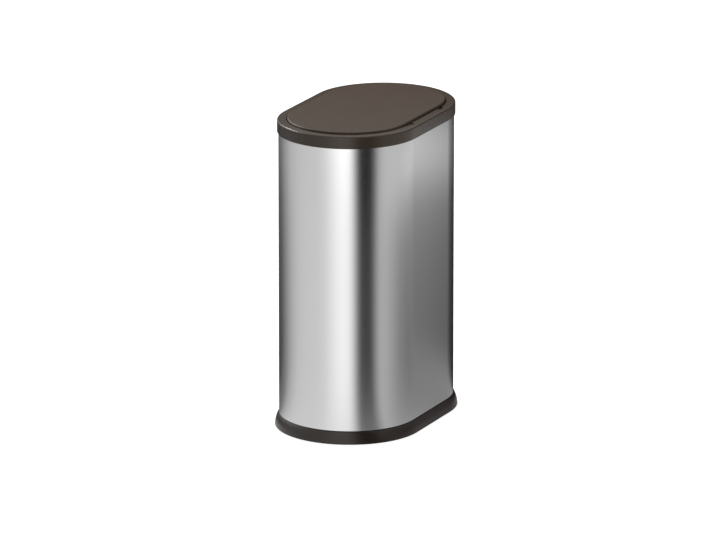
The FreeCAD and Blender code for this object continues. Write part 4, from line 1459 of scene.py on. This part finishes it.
    def level_at(self, place: Vector) -> float:
        """Return the surround's brightness at a place on it.

        Args:
            place: a point of the surround, in metres.

        Returns:
            The radiance there.
        """
        end = math.copysign(self.plan.half * MM, place.x) * X_AXIS.xy
        wall = end + (place.xy - end).normalized() * self.surround_reach
        angle = math.degrees(math.atan2(wall.y, wall.x))
        before, after = next(
            (first, second) for first, second in zip(self.stops, self.stops[1:])
            if first.angle <= angle <= second.angle
        )
        share = (angle - before.angle) / (after.angle - before.angle)
        foot, low, high, top = (
            getattr(before, name) + share * (getattr(after, name) - getattr(before, name))
            for name in ("foot", "low", "high", "top")
        )
        if (place.xy - end).length < (self.mat_reach + self.surround_reach) / 2:
            return foot
        row = min(self.rows, key=lambda row: abs(row.height - place.z))
        level = low + row.rise * (high - low)
        return level + row.crown * (top - level)

    def surround(self) -> Object:
        """Make the ring of light and dark panels that only reflections show."""
        wall = [Corner(self.surround_reach / MM, row.height / MM) for row in self.rows]
        mat = Corner(self.mat_reach / MM, wall[0].up)
        mesh = mesh_from(self.plan.trailed([mat, *wall], closed=False, steps=self.surround_steps), "surround")
        levels = mesh.attributes.new("level", "FLOAT", "POINT")
        levels.data.foreach_set("value", [self.level_at(vertex.co) for vertex in mesh.vertices])
        material, tree = new_material("studio_surround")
        level = add_node(tree, "ShaderNodeAttribute", attribute_name="level").outputs["Fac"]
        glow = add_node(tree, "ShaderNodeEmission", {"Color": WHITE, "Strength": level}).outputs[0]
        add_node(tree, "ShaderNodeOutputMaterial", {"Surface": glow})
        mesh.materials.append(material)
        ring = placed("surround", mesh)
        for ray in ("camera", "diffuse", "transmission", "volume_scatter", "shadow"):
            setattr(ring, f"visible_{ray}", False)
        return ring

    def hang(self, lamp: Lamp) -> None:
        """Hang one lamp, aimed at the lid."""
        light = bpy.data.lights.new(lamp.name, "AREA")
        light.shape = "DISK"
        light.size = lamp.size
        light.energy = lamp.power
        turn, rise = math.radians(lamp.angle), math.radians(lamp.height)
        towards = Vector((math.cos(turn) * math.cos(rise), math.sin(turn) * math.cos(rise), math.sin(rise)))
        hung = placed(lamp.name, light)
        hung.location = UP * self.aim_height + towards * lamp.distance
        hung.rotation_euler = towards.to_track_quat("Z", "Y").to_euler()
        hung.visible_diffuse = lamp.lights
        hung.visible_glossy = lamp.glints

    def camera(self) -> None:
        """Set up the camera at the picture's viewing angle."""
        view = bpy.data.cameras.new("camera")
        view.sensor_fit = "HORIZONTAL"
        view.sensor_width = self.camera_sensor
        view.lens = self.camera_lens
        view.clip_end = self.camera_end
        camera = placed("camera", view)
        camera.location = self.camera_place
        camera.rotation_euler = Vector(self.camera_aim).to_track_quat("-Z", "Y").to_euler()
        bpy.context.scene.camera = camera

    def build(self) -> None:
        """Set up the whole studio."""
        bpy.context.scene.view_settings.view_transform = "Standard"
        self.backdrop()
        self.floor()
        self.surround()
        for lamp in self.lamps:
            self.hang(lamp)
        self.camera()


def main() -> None:
    """Load the frame, build the can round it and set up the studio."""
    logging.basicConfig(level=logging.INFO, format="%(name)s: %(message)s")
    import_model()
    plan, screw = Plan.from_frame(), Screw()
    for assembly in (Can(plan, screw), Bucket(plan), Top(plan, screw), Plunger(), Lid(plan, screw)):
        assembly.build()
    Studio(plan).build()


if __name__ == "__main__":
    main()
